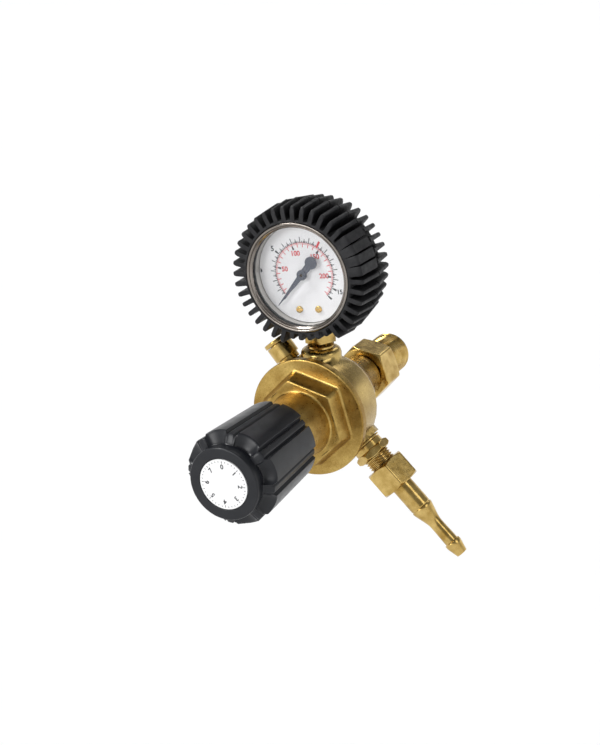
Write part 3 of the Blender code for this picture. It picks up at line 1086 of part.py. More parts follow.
def build_movement(frame):
    """The movement's plates, pinion shaft, toothed sector and link."""
    post_x = MOVEMENT_HALF_WIDTH - 2 * POST_RADIUS
    posts = [(-post_x, -MOVEMENT_TOP - POST_RADIUS), (post_x, -MOVEMENT_TOP - POST_RADIUS),
             (-post_x, SECTOR_DROP + 3 * POST_RADIUS)]
    outline = stadium(-MOVEMENT_TOP, MOVEMENT_BOTTOM, MOVEMENT_HALF_WIDTH)
    y_front_back = Y_FRONT_PLATE + MOVEMENT_PLATE
    front = plate("movement_front_plate", outline, Y_FRONT_PLATE, y_front_back, frame)
    shank = DIAL_SCREW_RADIUS / 2 + FINE_RUN
    holes = [(0.0, 0.0, SHAFT_RADIUS + FINE_RUN), (0.0, SECTOR_DROP, SHAFT_RADIUS + FINE_RUN)]
    holes += [(side * DIAL_SCREW_SPACING / 2, DIAL_SCREW_DROP, shank) for side in (-1, 1)]
    low, high = Y_FRONT_PLATE - GAP, y_front_back + GAP
    for x, y, radius in holes:
        cut(front, cylinder("hole_tool", radius, low, high, frame, COARSE, (x, y)))
    finish(front, "turned_brass")
    y_back_back = Y_BACK_PLATE + MOVEMENT_PLATE
    back = plate("movement_back_plate", outline, Y_BACK_PLATE, y_back_back, frame)
    low, high = y_front_back + FINE_RUN, Y_BACK_PLATE + GAP
    for centre in posts:
        join(back, cylinder("post_tool", POST_RADIUS, low, high, frame, COARSE, centre))
    for x, y, radius in holes[:2]:
        cut(back, cylinder("hole_tool", radius, Y_BACK_PLATE - GAP, y_back_back + GAP, frame, COARSE, (x, y)))
    finish(back, "turned_brass")
    build_pinion(frame, y_back_back)
    build_sector(frame)
    build_link(frame)


def build_pinion(frame, y_end):
    """The pointer's shaft with its pinion between the plates."""
    shaft = cylinder("pointer_shaft", SHAFT_RADIUS, Y_POINTER_FRONT - GAP, y_end, frame, COARSE)
    outline = []
    for i in range(2 * PINION_TEETH):
        radius = PINION_RADIUS if i % 2 == 0 else PINION_RADIUS - TOOTH_HEIGHT
        x, y, _ = polar(radius, i * pi / PINION_TEETH, 0.0)
        outline.append((x, y))
    low = Y_FRONT_PLATE + MOVEMENT_PLATE + FINE_RUN
    join(shaft, plate("pinion_tool", outline, low, Y_BACK_PLATE - FINE_RUN, frame))
    finish(shaft, "turned_brass")


def sector_angle():
    """How far the sector leans from upright at rest, so that half its swing is on each side."""
    return POINTER_SWEEP / SECTOR_RATIO / 2


def link_pivot():
    """The link's pivot on the sector's tail, in the gauge's frame."""
    lean = sector_angle()
    return Vector((-SECTOR_TAIL * sin(lean), SECTOR_DROP + SECTOR_TAIL * cos(lean), 0.0))


def tube_tip_place():
    """The middle of the tube's free end, in the gauge's frame."""
    end = TUBE_END + TUBE_TIP_SIZE / TUBE_RADIUS
    return Vector(polar(TUBE_RADIUS, end, 0.0))


def build_sector(frame):
    """The toothed sector on its arbor, with a tail that the link pulls."""
    lean = sector_angle()
    teeth = []
    steps = 2 * SECTOR_TEETH
    for i in range(steps + 1):
        angle = lean - SECTOR_HALF_ANGLE + 2 * SECTOR_HALF_ANGLE * i / steps
        radius = SECTOR_RADIUS if i % 2 == 0 else SECTOR_RADIUS - TOOTH_HEIGHT
        teeth.append((radius, angle))
    waist = SHAFT_RADIUS * 3
    tail_width = LINK_PIN_RADIUS * 3
    tail = SECTOR_TAIL + tail_width
    spread = tail_width / tail * SECTOR_TAIL_SPREAD
    outline = teeth + [(waist, lean + pi / 2), (tail, lean + pi - spread),
                       (tail, lean + pi + spread), (waist, lean - pi / 2)]
    points = []
    for radius, angle in outline:
        x, y, _ = polar(radius, angle, 0.0)
        points.append((x, y + SECTOR_DROP))
    high = Y_SECTOR + SECTOR_THICKNESS
    sector = plate("sector_gear", points, Y_SECTOR, high, frame)
    low = Y_FRONT_PLATE + FINE_RUN
    end = Y_BACK_PLATE + MOVEMENT_PLATE - FINE_RUN
    join(sector, cylinder("arbor_tool", SHAFT_RADIUS, low, end, frame, COARSE, (0.0, SECTOR_DROP)))
    pivot = link_pivot()
    end = Y_LINK + LINK_THICKNESS
    join(sector, cylinder("pin_tool", LINK_PIN_RADIUS, high - GAP, end, frame, COARSE, (pivot.x, pivot.y)))
    finish(sector, "turned_brass")


def build_link(frame):
    """The link from the sector's tail to the tube's tip, with an eye at each end."""
    start, end = link_pivot(), tube_tip_place()
    along = (end - start).normalized()
    across = Vector((-along.y, along.x, 0.0))
    half = LINK_WIDTH / 2
    outline = []
    for centre, first in ((end, -pi / 2), (start, pi / 2)):
        for i in range(LINK_STEPS + 1):
            angle = first + pi * i / LINK_STEPS
            point = centre + half * (cos(angle) * along + sin(angle) * across)
            outline.append((point.x, point.y))
    link = plate("gauge_link", outline, Y_LINK, Y_LINK + LINK_THICKNESS, frame)
    eye = LINK_PIN_RADIUS + FINE_RUN
    for centre in (start, end):
        hole = cylinder("hole_tool", eye, Y_LINK - GAP, Y_LINK + LINK_THICKNESS + GAP, frame, COARSE,
                        (centre.x, centre.y))
        cut(link, hole)
    finish(link, "turned_brass")


def build_tube(frame):
    """The curved pressure tube round the case, and the tip that closes its free end."""
    low = Y_GAUGE_STEM - TUBE_WIDTH / 2
    high = Y_GAUGE_STEM + TUBE_WIDTH / 2
    inner = TUBE_RADIUS - TUBE_THICKNESS / 2
    outer = TUBE_RADIUS + TUBE_THICKNESS / 2
    soft = TUBE_SHOULDER
    rings = []
    for i in range(TUBE_STEPS + 1):
        angle = TUBE_START + (TUBE_END - TUBE_START) * i / TUBE_STEPS
        section = [(inner, low + soft), (TUBE_RADIUS, low), (outer, low + soft),
                   (outer, high - soft), (TUBE_RADIUS, high), (inner, high - soft)]
        rings.append([polar(radius, angle, height) for radius, height in section])
    finish(lofted("bourdon_tube", rings, frame), "bronze")
    place = tube_tip_place()
    y_front = Y_LINK + LINK_THICKNESS + FINE_RUN
    outline = rectangle(place.x, place.y, TUBE_TIP_SIZE / 2, TUBE_TIP_SIZE / 2)
    tip = plate("tube_tip", outline, y_front, high, frame)
    pin = cylinder("pin_tool", LINK_PIN_RADIUS, Y_LINK, y_front + GAP, frame, COARSE, (place.x, place.y))
    join(tip, pin)
    finish(tip, "turned_brass")


def boot_ring(height, base, crest):
    """One section of the boot: fins that stand out of a round sleeve, short over the stem."""
    points = []
    at_base = BOOT_FIN_THICKNESS / 2 / base
    at_crest = BOOT_TIP_THICKNESS / 2 / crest
    for k in range(BOOT_FINS):
        middle = 2 * pi * k / BOOT_FINS
        over_stem = BOOT_SHORT_FROM < middle < BOOT_SHORT_TO
        top = min(crest, base + BOOT_SHORT_HEIGHT) if over_stem else crest
        for offset, radius in ((-at_base, base), (-at_crest, top), (at_crest, top), (at_base, base)):
            points.append(polar(radius, middle + offset, height))
    return points


def build_boot(frame):
    """The rubber boot with its radial fins and an opening at the bottom for the stem."""
    base = BOOT_INNER_RADIUS + BOOT_WALL
    front = BOOT_INNER_RADIUS + BOOT_WALL / 3
    y_waist = Y_BOOT_FRONT + BOOT_WAIST_DEPTH
    knee = BOOT_KNEE_DEPTH
    rings = [
        boot_ring(Y_BOOT_FRONT, front, front + BOOT_KNEE_HEIGHT / 6),
        boot_ring(Y_BOOT_FRONT + knee / 3, (front + base) / 2, base + BOOT_KNEE_HEIGHT * BOOT_KNEE_SHARE),
        boot_ring(Y_BOOT_FRONT + knee, base, base + BOOT_KNEE_HEIGHT),
        boot_ring(y_waist, base, base + BOOT_FIN_HEIGHT),
        boot_ring(Y_BOOT_BACK - knee, base, base + BOOT_TAIL_HEIGHT),
        boot_ring(Y_BOOT_BACK, base - BOOT_WALL / 3, base),
    ]
    boot = lofted("gauge_boot", rings, frame)
    inner = BOOT_INNER_RADIUS
    sleeve = CASE_RADIUS + GAP
    y_step = Y_BEZEL_FRONT + BEZEL_DEPTH + GAP
    y_lip = Y_CASE_BACK + GAP
    profile = [
        (0.0, Y_BOOT_FRONT - GAP), (inner, Y_BOOT_FRONT - GAP), (inner, y_step), (sleeve, y_step),
        (sleeve, y_lip), (BOOT_LIP_RADIUS, y_lip), (BOOT_LIP_RADIUS, Y_BOOT_BACK + GAP),
        (0.0, Y_BOOT_BACK + GAP),
    ]
    cut(boot, turned("sleeve_tool", profile, frame, LARGE))
    inside = inner / 2
    beyond = inner * 2
    outline = []
    for radius, angle in ((inside, BOOT_SLOT_FROM), (beyond, BOOT_SLOT_FROM), (beyond, BOOT_SLOT_TO),
                          (inside, BOOT_SLOT_TO)):
        x, y, _ = polar(radius, angle, 0.0)
        outline.append((x, y))
    y_slot = Y_GAUGE_STEM - STEM_ACROSS / sqrt(3) - RUN
    cut(boot, plate("slot_tool", outline, y_slot, Y_BOOT_BACK + GAP, frame))
    finish(boot, "rubber")


def main():
    clear_scene()
    lay_down = Matrix.Rotation(-pi / 2, 4, "X")
    main_axis = empty_frame("main_axis", lay_down)
    gauge_place = Matrix.Translation((0.0, 0.0, Z_GAUGE)) @ lay_down
    gauge_axis = empty_frame("gauge_axis", gauge_place)
    dial_axis = empty_frame("dial_axis", gauge_place @ Matrix.Rotation(DIAL_ROLL, 4, "Z"))
    stem_axis = empty_frame("stem_axis", Matrix.Translation((0.0, Y_GAUGE_STEM, 0.0)))
    outlet_turn = Matrix.Rotation(OUTLET_ANGLE, 4, "Y")
    outlet_axis = empty_frame("outlet_axis", Matrix.Translation((0.0, Y_OUTLET, 0.0)) @ outlet_turn)
    relief_turn = Matrix.Rotation(RELIEF_ANGLE, 4, "Y")
    relief_axis = empty_frame("relief_axis", Matrix.Translation((0.0, Y_RELIEF, 0.0)) @ relief_turn)
    build_body(main_axis, stem_axis, outlet_axis, relief_axis)
    build_bonnet(main_axis)
    build_knob(main_axis)
    build_pressure_screw(main_axis)
    build_diaphragm(main_axis)
    build_valve(main_axis)
    build_inlet(main_axis)
    build_outlet(outlet_axis)
    build_relief_valve(relief_axis)
    build_gauge_stem(stem_axis)
    build_gauge_shell(gauge_axis, stem_axis)
    build_dial(dial_axis)
    build_movement(dial_axis)
    build_tube(dial_axis)
    build_boot(gauge_axis)


main()
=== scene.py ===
"""Looks of the propane regulator: fine meshes over the frame, procedural finishes, studio light and camera.

Units are metres. The main axis is Y, with the adjusting knob towards -Y, and +Z points up to the gauge.
Every round piece is drawn in a local frame whose Z is its own axis. Angles count from that frame's -Y,
which on the main axis and in the gauge means clockwise from the top as seen from the knob.
"""
import json
from math import asin, atan2, cos, pi, radians, sin, sqrt

import bmesh
import bpy
import numpy as np
from mathutils import Matrix, Vector

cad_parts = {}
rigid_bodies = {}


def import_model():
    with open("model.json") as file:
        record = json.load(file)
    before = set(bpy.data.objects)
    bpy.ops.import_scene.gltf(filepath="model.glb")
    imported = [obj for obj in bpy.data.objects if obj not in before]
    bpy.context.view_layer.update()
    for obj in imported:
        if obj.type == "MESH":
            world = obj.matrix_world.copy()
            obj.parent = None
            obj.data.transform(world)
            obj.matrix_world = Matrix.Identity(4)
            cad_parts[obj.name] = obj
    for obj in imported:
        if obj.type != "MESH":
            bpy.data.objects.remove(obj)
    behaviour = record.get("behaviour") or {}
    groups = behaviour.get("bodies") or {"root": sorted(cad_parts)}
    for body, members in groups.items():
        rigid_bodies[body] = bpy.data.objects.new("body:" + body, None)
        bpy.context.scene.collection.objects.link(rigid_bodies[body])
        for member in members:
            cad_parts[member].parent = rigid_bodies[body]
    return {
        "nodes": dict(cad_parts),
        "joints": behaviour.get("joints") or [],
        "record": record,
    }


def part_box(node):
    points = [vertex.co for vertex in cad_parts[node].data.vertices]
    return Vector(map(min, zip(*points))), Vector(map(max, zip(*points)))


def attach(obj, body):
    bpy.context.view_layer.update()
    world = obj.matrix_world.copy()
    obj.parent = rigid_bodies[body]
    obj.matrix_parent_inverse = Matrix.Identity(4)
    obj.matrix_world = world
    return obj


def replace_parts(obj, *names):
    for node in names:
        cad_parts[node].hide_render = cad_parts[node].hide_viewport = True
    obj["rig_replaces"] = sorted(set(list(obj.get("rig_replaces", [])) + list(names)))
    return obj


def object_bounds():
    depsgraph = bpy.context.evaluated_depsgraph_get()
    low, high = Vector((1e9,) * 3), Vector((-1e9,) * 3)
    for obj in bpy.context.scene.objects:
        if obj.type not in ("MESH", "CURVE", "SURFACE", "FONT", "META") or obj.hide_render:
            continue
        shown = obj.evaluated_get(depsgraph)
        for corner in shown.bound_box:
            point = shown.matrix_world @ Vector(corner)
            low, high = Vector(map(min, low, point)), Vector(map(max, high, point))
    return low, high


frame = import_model()
CAD_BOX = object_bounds()

# Facets
ROUND = 144
FINE = 192
SMALL = 64

# Shared small sizes
EDGE = 0.00025  # broken edge of a machined piece
SOFT_EDGE = 0.0007  # rounded edge of a forging
SLIT = 0.0003  # play between neighbours
INK = 0.00003  # how far print stands off its ground
BOLD = 0.00009  # how far its strokes are widened
SHARP_ANGLE = radians(40.0)
MERGE = 0.000002
CORNER_SHARE = 0.45  # of each side, which a rounded corner may take
WHITE = (1.0, 1.0, 1.0)

# Bonnet
HEX_TURN = radians(-13.6)
HEX_CREST = 0.02125  # corner radius of the forged hexagon at its face
HEX_ROOT = 0.02290  # and where it meets the flange
HEX_HEIGHT = 0.0076
HEX_WEAR = 0.02  # share taken off its corners
HEX_BROW = ((1.4, 0.0), (0.55, 0.16), (0.14, 0.5), (0.0, 1.2))  # inwards and back, in soft edges
HEX_FOOT = ((0.0, 1.0), (0.2, 0.4), (0.55, 0.1), (1.2, 0.0))  # outwards and forward, in fillets
NECK_RADIUS = 0.0153
NECK_TAPER = 0.0005
NECK_FILLET = 0.0012
FLANGE_THICKNESS = 0.0037
SPIGOT_RADIUS = 0.0217  # of the ring that goes into the body
DIAPHRAGM_BORE_RADIUS = 0.0180
SPRING_CAVITY_RADIUS = 0.0116
SCREW_BORE_RADIUS = 0.0063
SCREW_BORE_LENGTH = 0.0110

# Knob
LOBES = 8
LOBE_TURN = radians(28.5)
KNOB_SAMPLES = 48  # points from lobe to lobe
POCKET_ROWS = 18
GRIP_ROWS = 10
KNOB_FACE_RADIUS = 0.0161
KNOB_FRONT_RADIUS = 0.0212
KNOB_REAR_RADIUS = 0.0194
KNOB_CAVITY_RADIUS = 0.0157
KNOB_SOCKET_LENGTH = 0.0065  # of the bore that holds the screw's head
KNOB_GROOVE = 0.0014
KNOB_RIM = 0.0016
KNOB_EDGE = 0.0008
BEAD_START = 0.0052  # behind the face
LOBE_START = 0.0074
POCKET_RUN = 0.0011  # half the length over which a pocket's wall rises
POCKET_SLOPE = -0.28  # of its floor
POCKET_SHARE = 0.35  # these shares count from a lobe's middle, in pitches
LOBE_SHARE = 0.311
GROOVE_SHARES = (0.371, 0.382)
BEAD_SHARE = 0.431

# Label
LABEL_DEPTH = 0.0008
LABEL_NUMBERS = 8
LABEL_TICKS = 40
LABEL_TICK_ENDS = (0.84, 0.88, 0.93)  # long start, short start and end, as shares of the radius
LABEL_TICK_WIDTH = 0.00025
LABEL_NUMBER_SIZE = 0.0029
LABEL_NUMBER_SHARE = 0.70

# Threads
THREAD_PITCH = 0.00181
THREAD_DEPTH = 0.00085
OUTLET_PITCH = 0.00134
OUTLET_DEPTH = 0.00070
ROWS_PER_TURN = 8
THREAD_FADE = 0.0006  # length over which the ridges rise at both ends
THREAD_SWING = 0.75  # above a half it flattens crests and roots

# Hexagons
HEX_SLOPE = 0.72  # how steeply the corners are turned off
WASHER_FACE_SHARE = 0.985
NUT_WEAR = 0.012  # share taken off the corners
STEM_HEX_ACROSS = 0.0140

# Inlet nut
INLET_HEX_TURN = radians(-17.0)
INLET_HEX_ACROSS = 0.0260
INLET_HEX_LENGTH = 0.0155
INLET_THREAD_RADIUS = 0.01045
INLET_CHAMFER = 0.0012
INLET_BORE_RADIUS = 0.0064
INLET_RECESS_RADIUS = 0.0084  # of the recess for the stem's head
INLET_RECESS_DEPTH = 0.0075

# Outlet adapter
ADAPTER_HEX_TURN = radians(-3.0)
ADAPTER_HEX_ACROSS = 0.0160
ADAPTER_HEX_LENGTH = 0.0038
ADAPTER_COLLAR_RADIUS = 0.0074
ADAPTER_COLLAR_LENGTH = 0.0028
ADAPTER_THREAD_RADIUS = 0.00658
ADAPTER_BORE_RADIUS = 0.0022
ADAPTER_SEAT_DEPTH = 0.0024  # of the cone that the hose tail's nose fits

# Union nut
UNION_TURN = radians(27.0)
UNION_ACROSS = 0.0190
UNION_BORE_RADIUS = 0.00688
UNION_NECK_RADIUS = 0.0056
UNION_NECK_LENGTH = 0.0040

# Hose tail, whose lengths count from its barbed end
BARB_TIP_LENGTH = 0.0074
BARB_STEM_LENGTH = 0.0120
BARB_CONE_LENGTH = 0.0082
BARB_STEM_RADIUS = 0.0031
BARB_STEM_SPREAD = 1.08  # the stem's widening towards the flare
BARB_STEM_FILLET = 0.0020
BARB_FLARE_RADIUS = 0.00405
BARB_LAND_LENGTH = 0.00185
BARB_LAND_EDGE = 0.0006
BARB_TIP_RADIUS = 0.0027
BARB_SHANK_RADIUS = 0.0052
BARB_SHOULDER_RADIUS = 0.0054
BARB_BORE_RADIUS = 0.0016
SHANK_GROOVE = (0.0016, 0.0012, 0.0009)  # its start, floor and end before the shoulder
NOSE_RADIUS = 0.00205
COLLAR_LENGTH = 0.0023

# Relief valve
RELIEF_HOLE_RADIUS = 0.0015
RELIEF_THREAD_RADIUS = 0.0040
RELIEF_BASE_RADIUS = 0.0052
RELIEF_BASE_LENGTH = 0.0024
RELIEF_BORE_RADIUS = 0.0042
RELIEF_SEAT_THICKNESS = 0.0016
CAP_SPIGOT_LENGTH = 0.0014
CAP_SPIGOT_WALL = 0.0006

# Gauge
DIAL_ROLL = radians(-4.5)
BEZEL_LIP = 0.0024
BEZEL_LIP_THICKNESS = 0.0016
BEZEL_WALL = 0.0010
BEZEL_EDGE = 0.0008
BEZEL_BEAD = (  # outwards from the lip, back from the front, and setback
    (0.0, 0.0011, 0.0002), (0.0008, 0.0003, 0.0003), (0.0011, 0.0007, 0.0002), (0.0014, 0.0, 0.0003),
)
DIAL_SINK = 0.0014  # the printed face lies this far behind the CAD one, as the parallax shows
DIAL_SHEET = 0.0004
DIAL_HOLE_RADIUS = 0.0012
SCREW_HEAD_RADIUS = 0.0016
SCREW_HEAD_HEIGHT = 0.0008
SCREW_HEAD_EDGE = 0.0006
SCREW_SHANK_RADIUS = 0.0006
SCREW_SLOT_WIDTH = 0.0004

# Scales
SCALE_START = radians(-135.0)
SCALE_SWEEP = radians(270.0)
SCALE_RADIUS = 0.0142  # of the line that both scales share
BLACK_LINE = 0.00014  # width of its outer half
RED_LINE = 0.0001
OUTER_FULL = 16.0  # full reading of the outer scale
OUTER_UNIT = (0.0, 0.0026, 0.00036, 0.00036)  # marks: start and end past the line, and width at both
OUTER_HALF = (0.0, 0.0017, 0.00032, 0.00032)
OUTER_FIFTH = (0.0, 0.0008, 0.00036, 0.00036)
OUTER_WEDGE = (0.0008, 0.0027, 0.0006, 0.0010)
OUTER_WEDGES = (5, 15, 16)
OUTER_NUMBERS = {5: 0.0034, 15: 0.0029}  # with their sizes
OUTER_NUMBER_RADIUS = 0.0186
INNER_FULL = 232.0
INNER_STEP = 2
INNER_TEN = (-0.0021, -RED_LINE, 0.00034, 0.00034)
INNER_TWO = (-0.0009, -RED_LINE, 0.00018, 0.00018)
INNER_WEDGE = (-0.0026, -0.0009, 0.0010, 0.0006)
INNER_NUMBERS = (50, 100, 150, 200)
INNER_NUMBER_SIZE = 0.0031
INNER_NUMBER_RADIUS = 0.0098
WARNING_READING = 10.0
WARNING_MARK = (-0.0002, 0.0030, 0.0010, 0.0010)
NOTCH_TURN = radians(-85.0)
NOTCH_MARK = (0.0071, 0.0080, 0.0010, 0.0022)

# Pointer
POINTER_HUB_RADIUS = 0.0024
POINTER_HUB_EDGE = 0.0005
POINTER_BORE_RADIUS = 0.00085
NEEDLE_EXTRA = 0.0012  # the photographed needle reaches this far past the CAD one
NEEDLE_SIDE = ((1.0, 0.00014), (0.6, 0.0006), (0.3, 0.0010))  # share of the reach, and half width
NEEDLE_FOOT = 0.0015
TAIL_START = 0.0052
TAIL_NECK = 0.0032
TAIL_DISC = 0.0058
TAIL_CENTRE = 0.0077
TAIL_STEPS = 12
TAIL_TIP = 0.02  # half width that is left at its end, over the disc's radius

# Boot
FINS = 40
BOOT_WALL = 0.0012
BOOT_LIP_RADIUS = 0.0200
BOOT_ROWS = 8
FIN_THICKNESS = 0.0021
FIN_TIP_THICKNESS = 0.0018
FIN_FOOT = ((1.3, 0.0), (1.04, 0.05), (0.97, 0.25))  # offset in half thicknesses, and share of the height
FIN_CROWN = ((1.0, 0.84), (0.72, 0.97), (0.3, 1.0))
FIN_HEIGHT = 0.0069
KNEE_HEIGHT = 0.0059
TAIL_HEIGHT = 0.0047
SHORT_FIN_HEIGHT = 0.0026
SHORT_FROM = radians(149.0)
SHORT_TO = radians(193.0)
KNEE_DEPTH = 0.0010
KNEE_PROFILE = (  # depth in knees, how much of the wall is missing, and share of the height
    (0.0, 0.9, 0.05), (0.0, 0.7, 0.40), (0.06, 0.5, 0.68), (0.22, 0.35, 0.84), (0.5, 0.15, 0.94),
    (1.0, 0.0, 1.0),
)
REAR_PROFILE = ((0.4, 0.0, 0.8), (0.0, 1 / 3, 0.25))
WAIST_DEPTH = 0.0151  # from the boot's front to its moulding line
GROOVE_HEIGHT = 0.0054  # of the fins in the moulding line
GROOVE_WIDTH = 0.0006
WAIST_PROFILE = (  # depth in groove widths, and height
    (0.35, 0.93 * FIN_HEIGHT), (0.5, GROOVE_HEIGHT), (1.5, GROOVE_HEIGHT), (1.65, 0.90 * FIN_HEIGHT),
    (2.1, 0.96 * FIN_HEIGHT),
)
BARS_END = WAIST_DEPTH + 0.4 * GROOVE_WIDTH  # wide bars take the fins' place on the right side up to here
BARS_FROM = radians(50.0)
BARS_TO = radians(85.0)
BAR_GROOVE = 0.00045
BAR_HEIGHT_SHARE = 0.94
BAR_FOOT = 0.99  # half width at the sleeve, in half pitches
BAR_SHOULDER = 0.93  # share of the height at the groove's edge
SLOT_FROM = radians(148.5)
SLOT_TO = radians(201.5)
SLOT_PLAY = 0.0004

# Camera, as its axes and place, and the lens that the photograph's perspective gives
CAMERA_RIGHT = Vector((0.8910, 0.4489, -0.0676))
CAMERA_DOWN = Vector((0.0919, -0.3242, -0.9415))
CAMERA_PLACE = Vector((0.2661, -0.5997, 0.2211))
CAMERA_LENS = 64.31
CAMERA_SENSOR = 36.0
CAMERA_CLIP = 0.01

# Stage
FLOOR_DROP = 0.30  # below the lowest point, because the real one hangs on a cylinder valve
FLOOR_SIZE = 60.0  # so that no edge of it comes into view
FLOOR_TONE = (0.93, 0.93, 0.93)
ROOM_ABOVE = (0.30, 0.303, 0.306)  # the room's light, which is white only near the horizon
ROOM_BAND = (0.17, 0.26)  # heights, as sines, between which it darkens
LAMPS = {  # strength, width, azimuth towards +X from the knob's side, and elevation
    "front": (1.0, 24.0, -20.0, 14.0),
    "key": (2.0, 18.0, -58.0, 50.0),
    "side": (0.30, 26.0, 80.0, 30.0),
    "rim": (0.30, 24.0, 180.0, 42.0),
}


# Places

LAY_DOWN = Matrix.Rotation(-pi / 2, 4, "X")
FIXED = "regulator_body"
BODY_OF = {node: body for body, nodes in frame["record"]["behaviour"]["bodies"].items() for node in nodes}
SLOT_OF = {part["node"]: part["material_slot"] for part in frame["record"]["subparts"]}


def joint_axis(name):
    return Vector(next(joint["axis"] for joint in frame["joints"] if joint["name"] == name))


def middle(node):
    low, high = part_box(node)
    return (low + high) / 2


def leaning_frame(direction, y):
    """A frame at a station of the main axis whose Z leans from world Z towards the direction."""
    lean = Matrix.Rotation(atan2(direction.x, direction.z), 4, "Y")
    return Matrix.Translation((0.0, y, 0.0)) @ lean


MAIN = LAY_DOWN
GAUGE = Matrix.Translation((0.0, 0.0, middle("gauge_bezel").z)) @ LAY_DOWN
DIAL = GAUGE @ Matrix.Rotation(DIAL_ROLL, 4, "Z")
OUTLET = leaning_frame(-joint_axis("union_turn"), middle("outlet_washer").y)
RELIEF = leaning_frame(joint_axis("relief_lift"), middle("relief_cap").y)


def measured(node, place):
    """A CAD node's lowest and highest station along a frame's Z, and its largest radius round it."""
    to_local = place.inverted()
    points = [to_local @ vertex.co for vertex in frame["nodes"][node].data.vertices]
    heights = [point.z for point in points]
    reach = max(sqrt(point.x ** 2 + point.y ** 2) for point in points)
    return min(heights), max(heights), reach


# Meshes

def angles(count, start=0.0):
    return start + np.arange(count) * 2 * pi / count


def loft(name, rows, place, turns, hollow=True):
    """A skin over rows of (radius, height), each a number or one value for each angle in turns.

    A hollow piece's last row meets its first. Otherwise both ends are closed by a flat face.
    """
    count = len(turns)
    sines, cosines = np.sin(turns), np.cos(turns)
    bm = bmesh.new()
    loops = []
    for radius, height in rows:
        radii = np.broadcast_to(radius, count)
        heights = np.broadcast_to(height, count)
        spots = zip(radii * sines, -radii * cosines, heights)
        loops.append([bm.verts.new([float(value) for value in spot]) for spot in spots])
    pairs = list(zip(loops, loops[1:]))
    if hollow:
        pairs.append((loops[-1], loops[0]))
    for lower, upper in pairs:
        for i in range(count):
            j = (i + 1) % count
            bm.faces.new((lower[i], lower[j], upper[j], upper[i]))
    if not hollow:
        bm.faces.new(loops[0])
        bm.faces.new(loops[-1])
    return add_piece(name, bm, place)


def add_object(name, data, place):
    thing = bpy.data.objects.new(name, data)
    thing.matrix_world = place
    bpy.context.scene.collection.objects.link(thing)
    return thing


def add_piece(name, bm, place):
    bmesh.ops.remove_doubles(bm, verts=bm.verts, dist=MERGE)
    bmesh.ops.recalc_face_normals(bm, faces=bm.faces)
    mesh = bpy.data.meshes.new(name)
    bm.to_mesh(mesh)
    bm.free()
    return add_object(name, mesh, place)


def rounded(corners, steps=3):
    """A chain of (radius, height) from corners of (radius, height, setback), the setbacks rounded off."""
    chain = []
    for i, (radius, height, setback) in enumerate(corners):
        corner = Vector((radius, height))
        if setback == 0.0 or i in (0, len(corners) - 1):
            chain.append((radius, height))
            continue
        before = Vector(corners[i - 1][:2]) - corner
        after = Vector(corners[i + 1][:2]) - corner
        reach = min(setback, before.length * CORNER_SHARE, after.length * CORNER_SHARE)
        start = corner + before.normalized() * reach
        end = corner + after.normalized() * reach
        for k in range(steps + 1):
            t = k / steps
            point = (1 - t) ** 2 * start + 2 * t * (1 - t) * corner + t ** 2 * end
            chain.append((point.x, point.y))
    return chain


def turned(name, corners, place, count=ROUND, hollow=True):
    return loft(name, rounded(corners), place, angles(count), hollow)


def hexagon_radii(turns, across, turn, wear=NUT_WEAR):
    """The radius of a hexagon with slightly worn corners in each direction."""
    flat = across / 2
    off_flat = np.mod(turns - turn, pi / 3) - pi / 6
    return np.minimum(flat / np.cos(off_flat), flat / cos(pi / 6) * (1 - wear))


def nut_rows(turns, across, turn, low, high):
    """The outside of a nut from its lower to its upper washer face, with the corners turned off."""
    washer = across / 2 * WASHER_FACE_SHARE
    radii = hexagon_radii(turns, across, turn)
    drop = (radii - washer) * HEX_SLOPE
    rise = EDGE * HEX_SLOPE
    lower = [
        (washer, low), (radii - EDGE, low + drop - rise), (radii - EDGE / 4, low + drop),
        (radii, low + drop + EDGE),
    ]
    return lower + [(radius, low + high - height) for radius, height in reversed(lower)]


def thread_rows(turns, radius, low, high, pitch, depth, hand=1):
    """A screw thread as rows, with its ridges fading out at both ends."""
    count = max(2, int((high - low) / pitch * ROWS_PER_TURN))
    rows = []
    for i in range(count + 1):
        height = low + (high - low) * i / count
        phase = 2 * pi * height / pitch - hand * turns
        wave = np.clip(0.5 + THREAD_SWING * np.cos(phase), 0.0, 1.0)
        strength = min(1.0, (height - low) / THREAD_FADE, (high - height) / THREAD_FADE)
        rows.append((radius - depth * max(strength, 0.0) * wave, height))
    return rows


def cut(piece, tool):
    """Cuts a tool's shape out of a piece, and removes the tool."""
    step = piece.modifiers.new("Cut", "BOOLEAN")
    step.operation = "DIFFERENCE"
    step.solver = "EXACT"
    step.object = tool
    bpy.context.view_layer.update()
    graph = bpy.context.evaluated_depsgraph_get()
    result = bpy.data.meshes.new_from_object(piece.evaluated_get(graph))
    piece.modifiers.clear()
    piece.data = result
    bpy.data.objects.remove(tool, do_unlink=True)


def plate(name, outline, low, high, place):
    """A flat piece with the given outline of (x, y) points."""
    bm = bmesh.new()
    loops = [[bm.verts.new((x, y, height)) for x, y in outline] for height in (low, high)]
    for i in range(len(outline)):
        j = (i + 1) % len(outline)
        bm.faces.new((loops[0][i], loops[0][j], loops[1][j], loops[1][i]))
    bm.faces.new(loops[0])
    bm.faces.new(loops[1])
    return add_piece(name, bm, place)


def polar(radius, turn):
    return radius * sin(turn), -radius * cos(turn)


def dress(piece, finish, body, *nodes):
    """Gives a piece its finish and smooth shading, sets it on its body and lets it stand for CAD nodes."""
    piece.data.materials.clear()
    piece.data.materials.append(FINISH[finish])
    piece.data.shade_smooth()
    piece.data.set_sharp_from_angle(angle=SHARP_ANGLE)
    weights = piece.modifiers.new("Flat faces stay flat", "WEIGHTED_NORMAL")
    weights.keep_sharp = True
    if nodes:
        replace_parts(piece, *nodes)
    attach(piece, body)


# Finishes

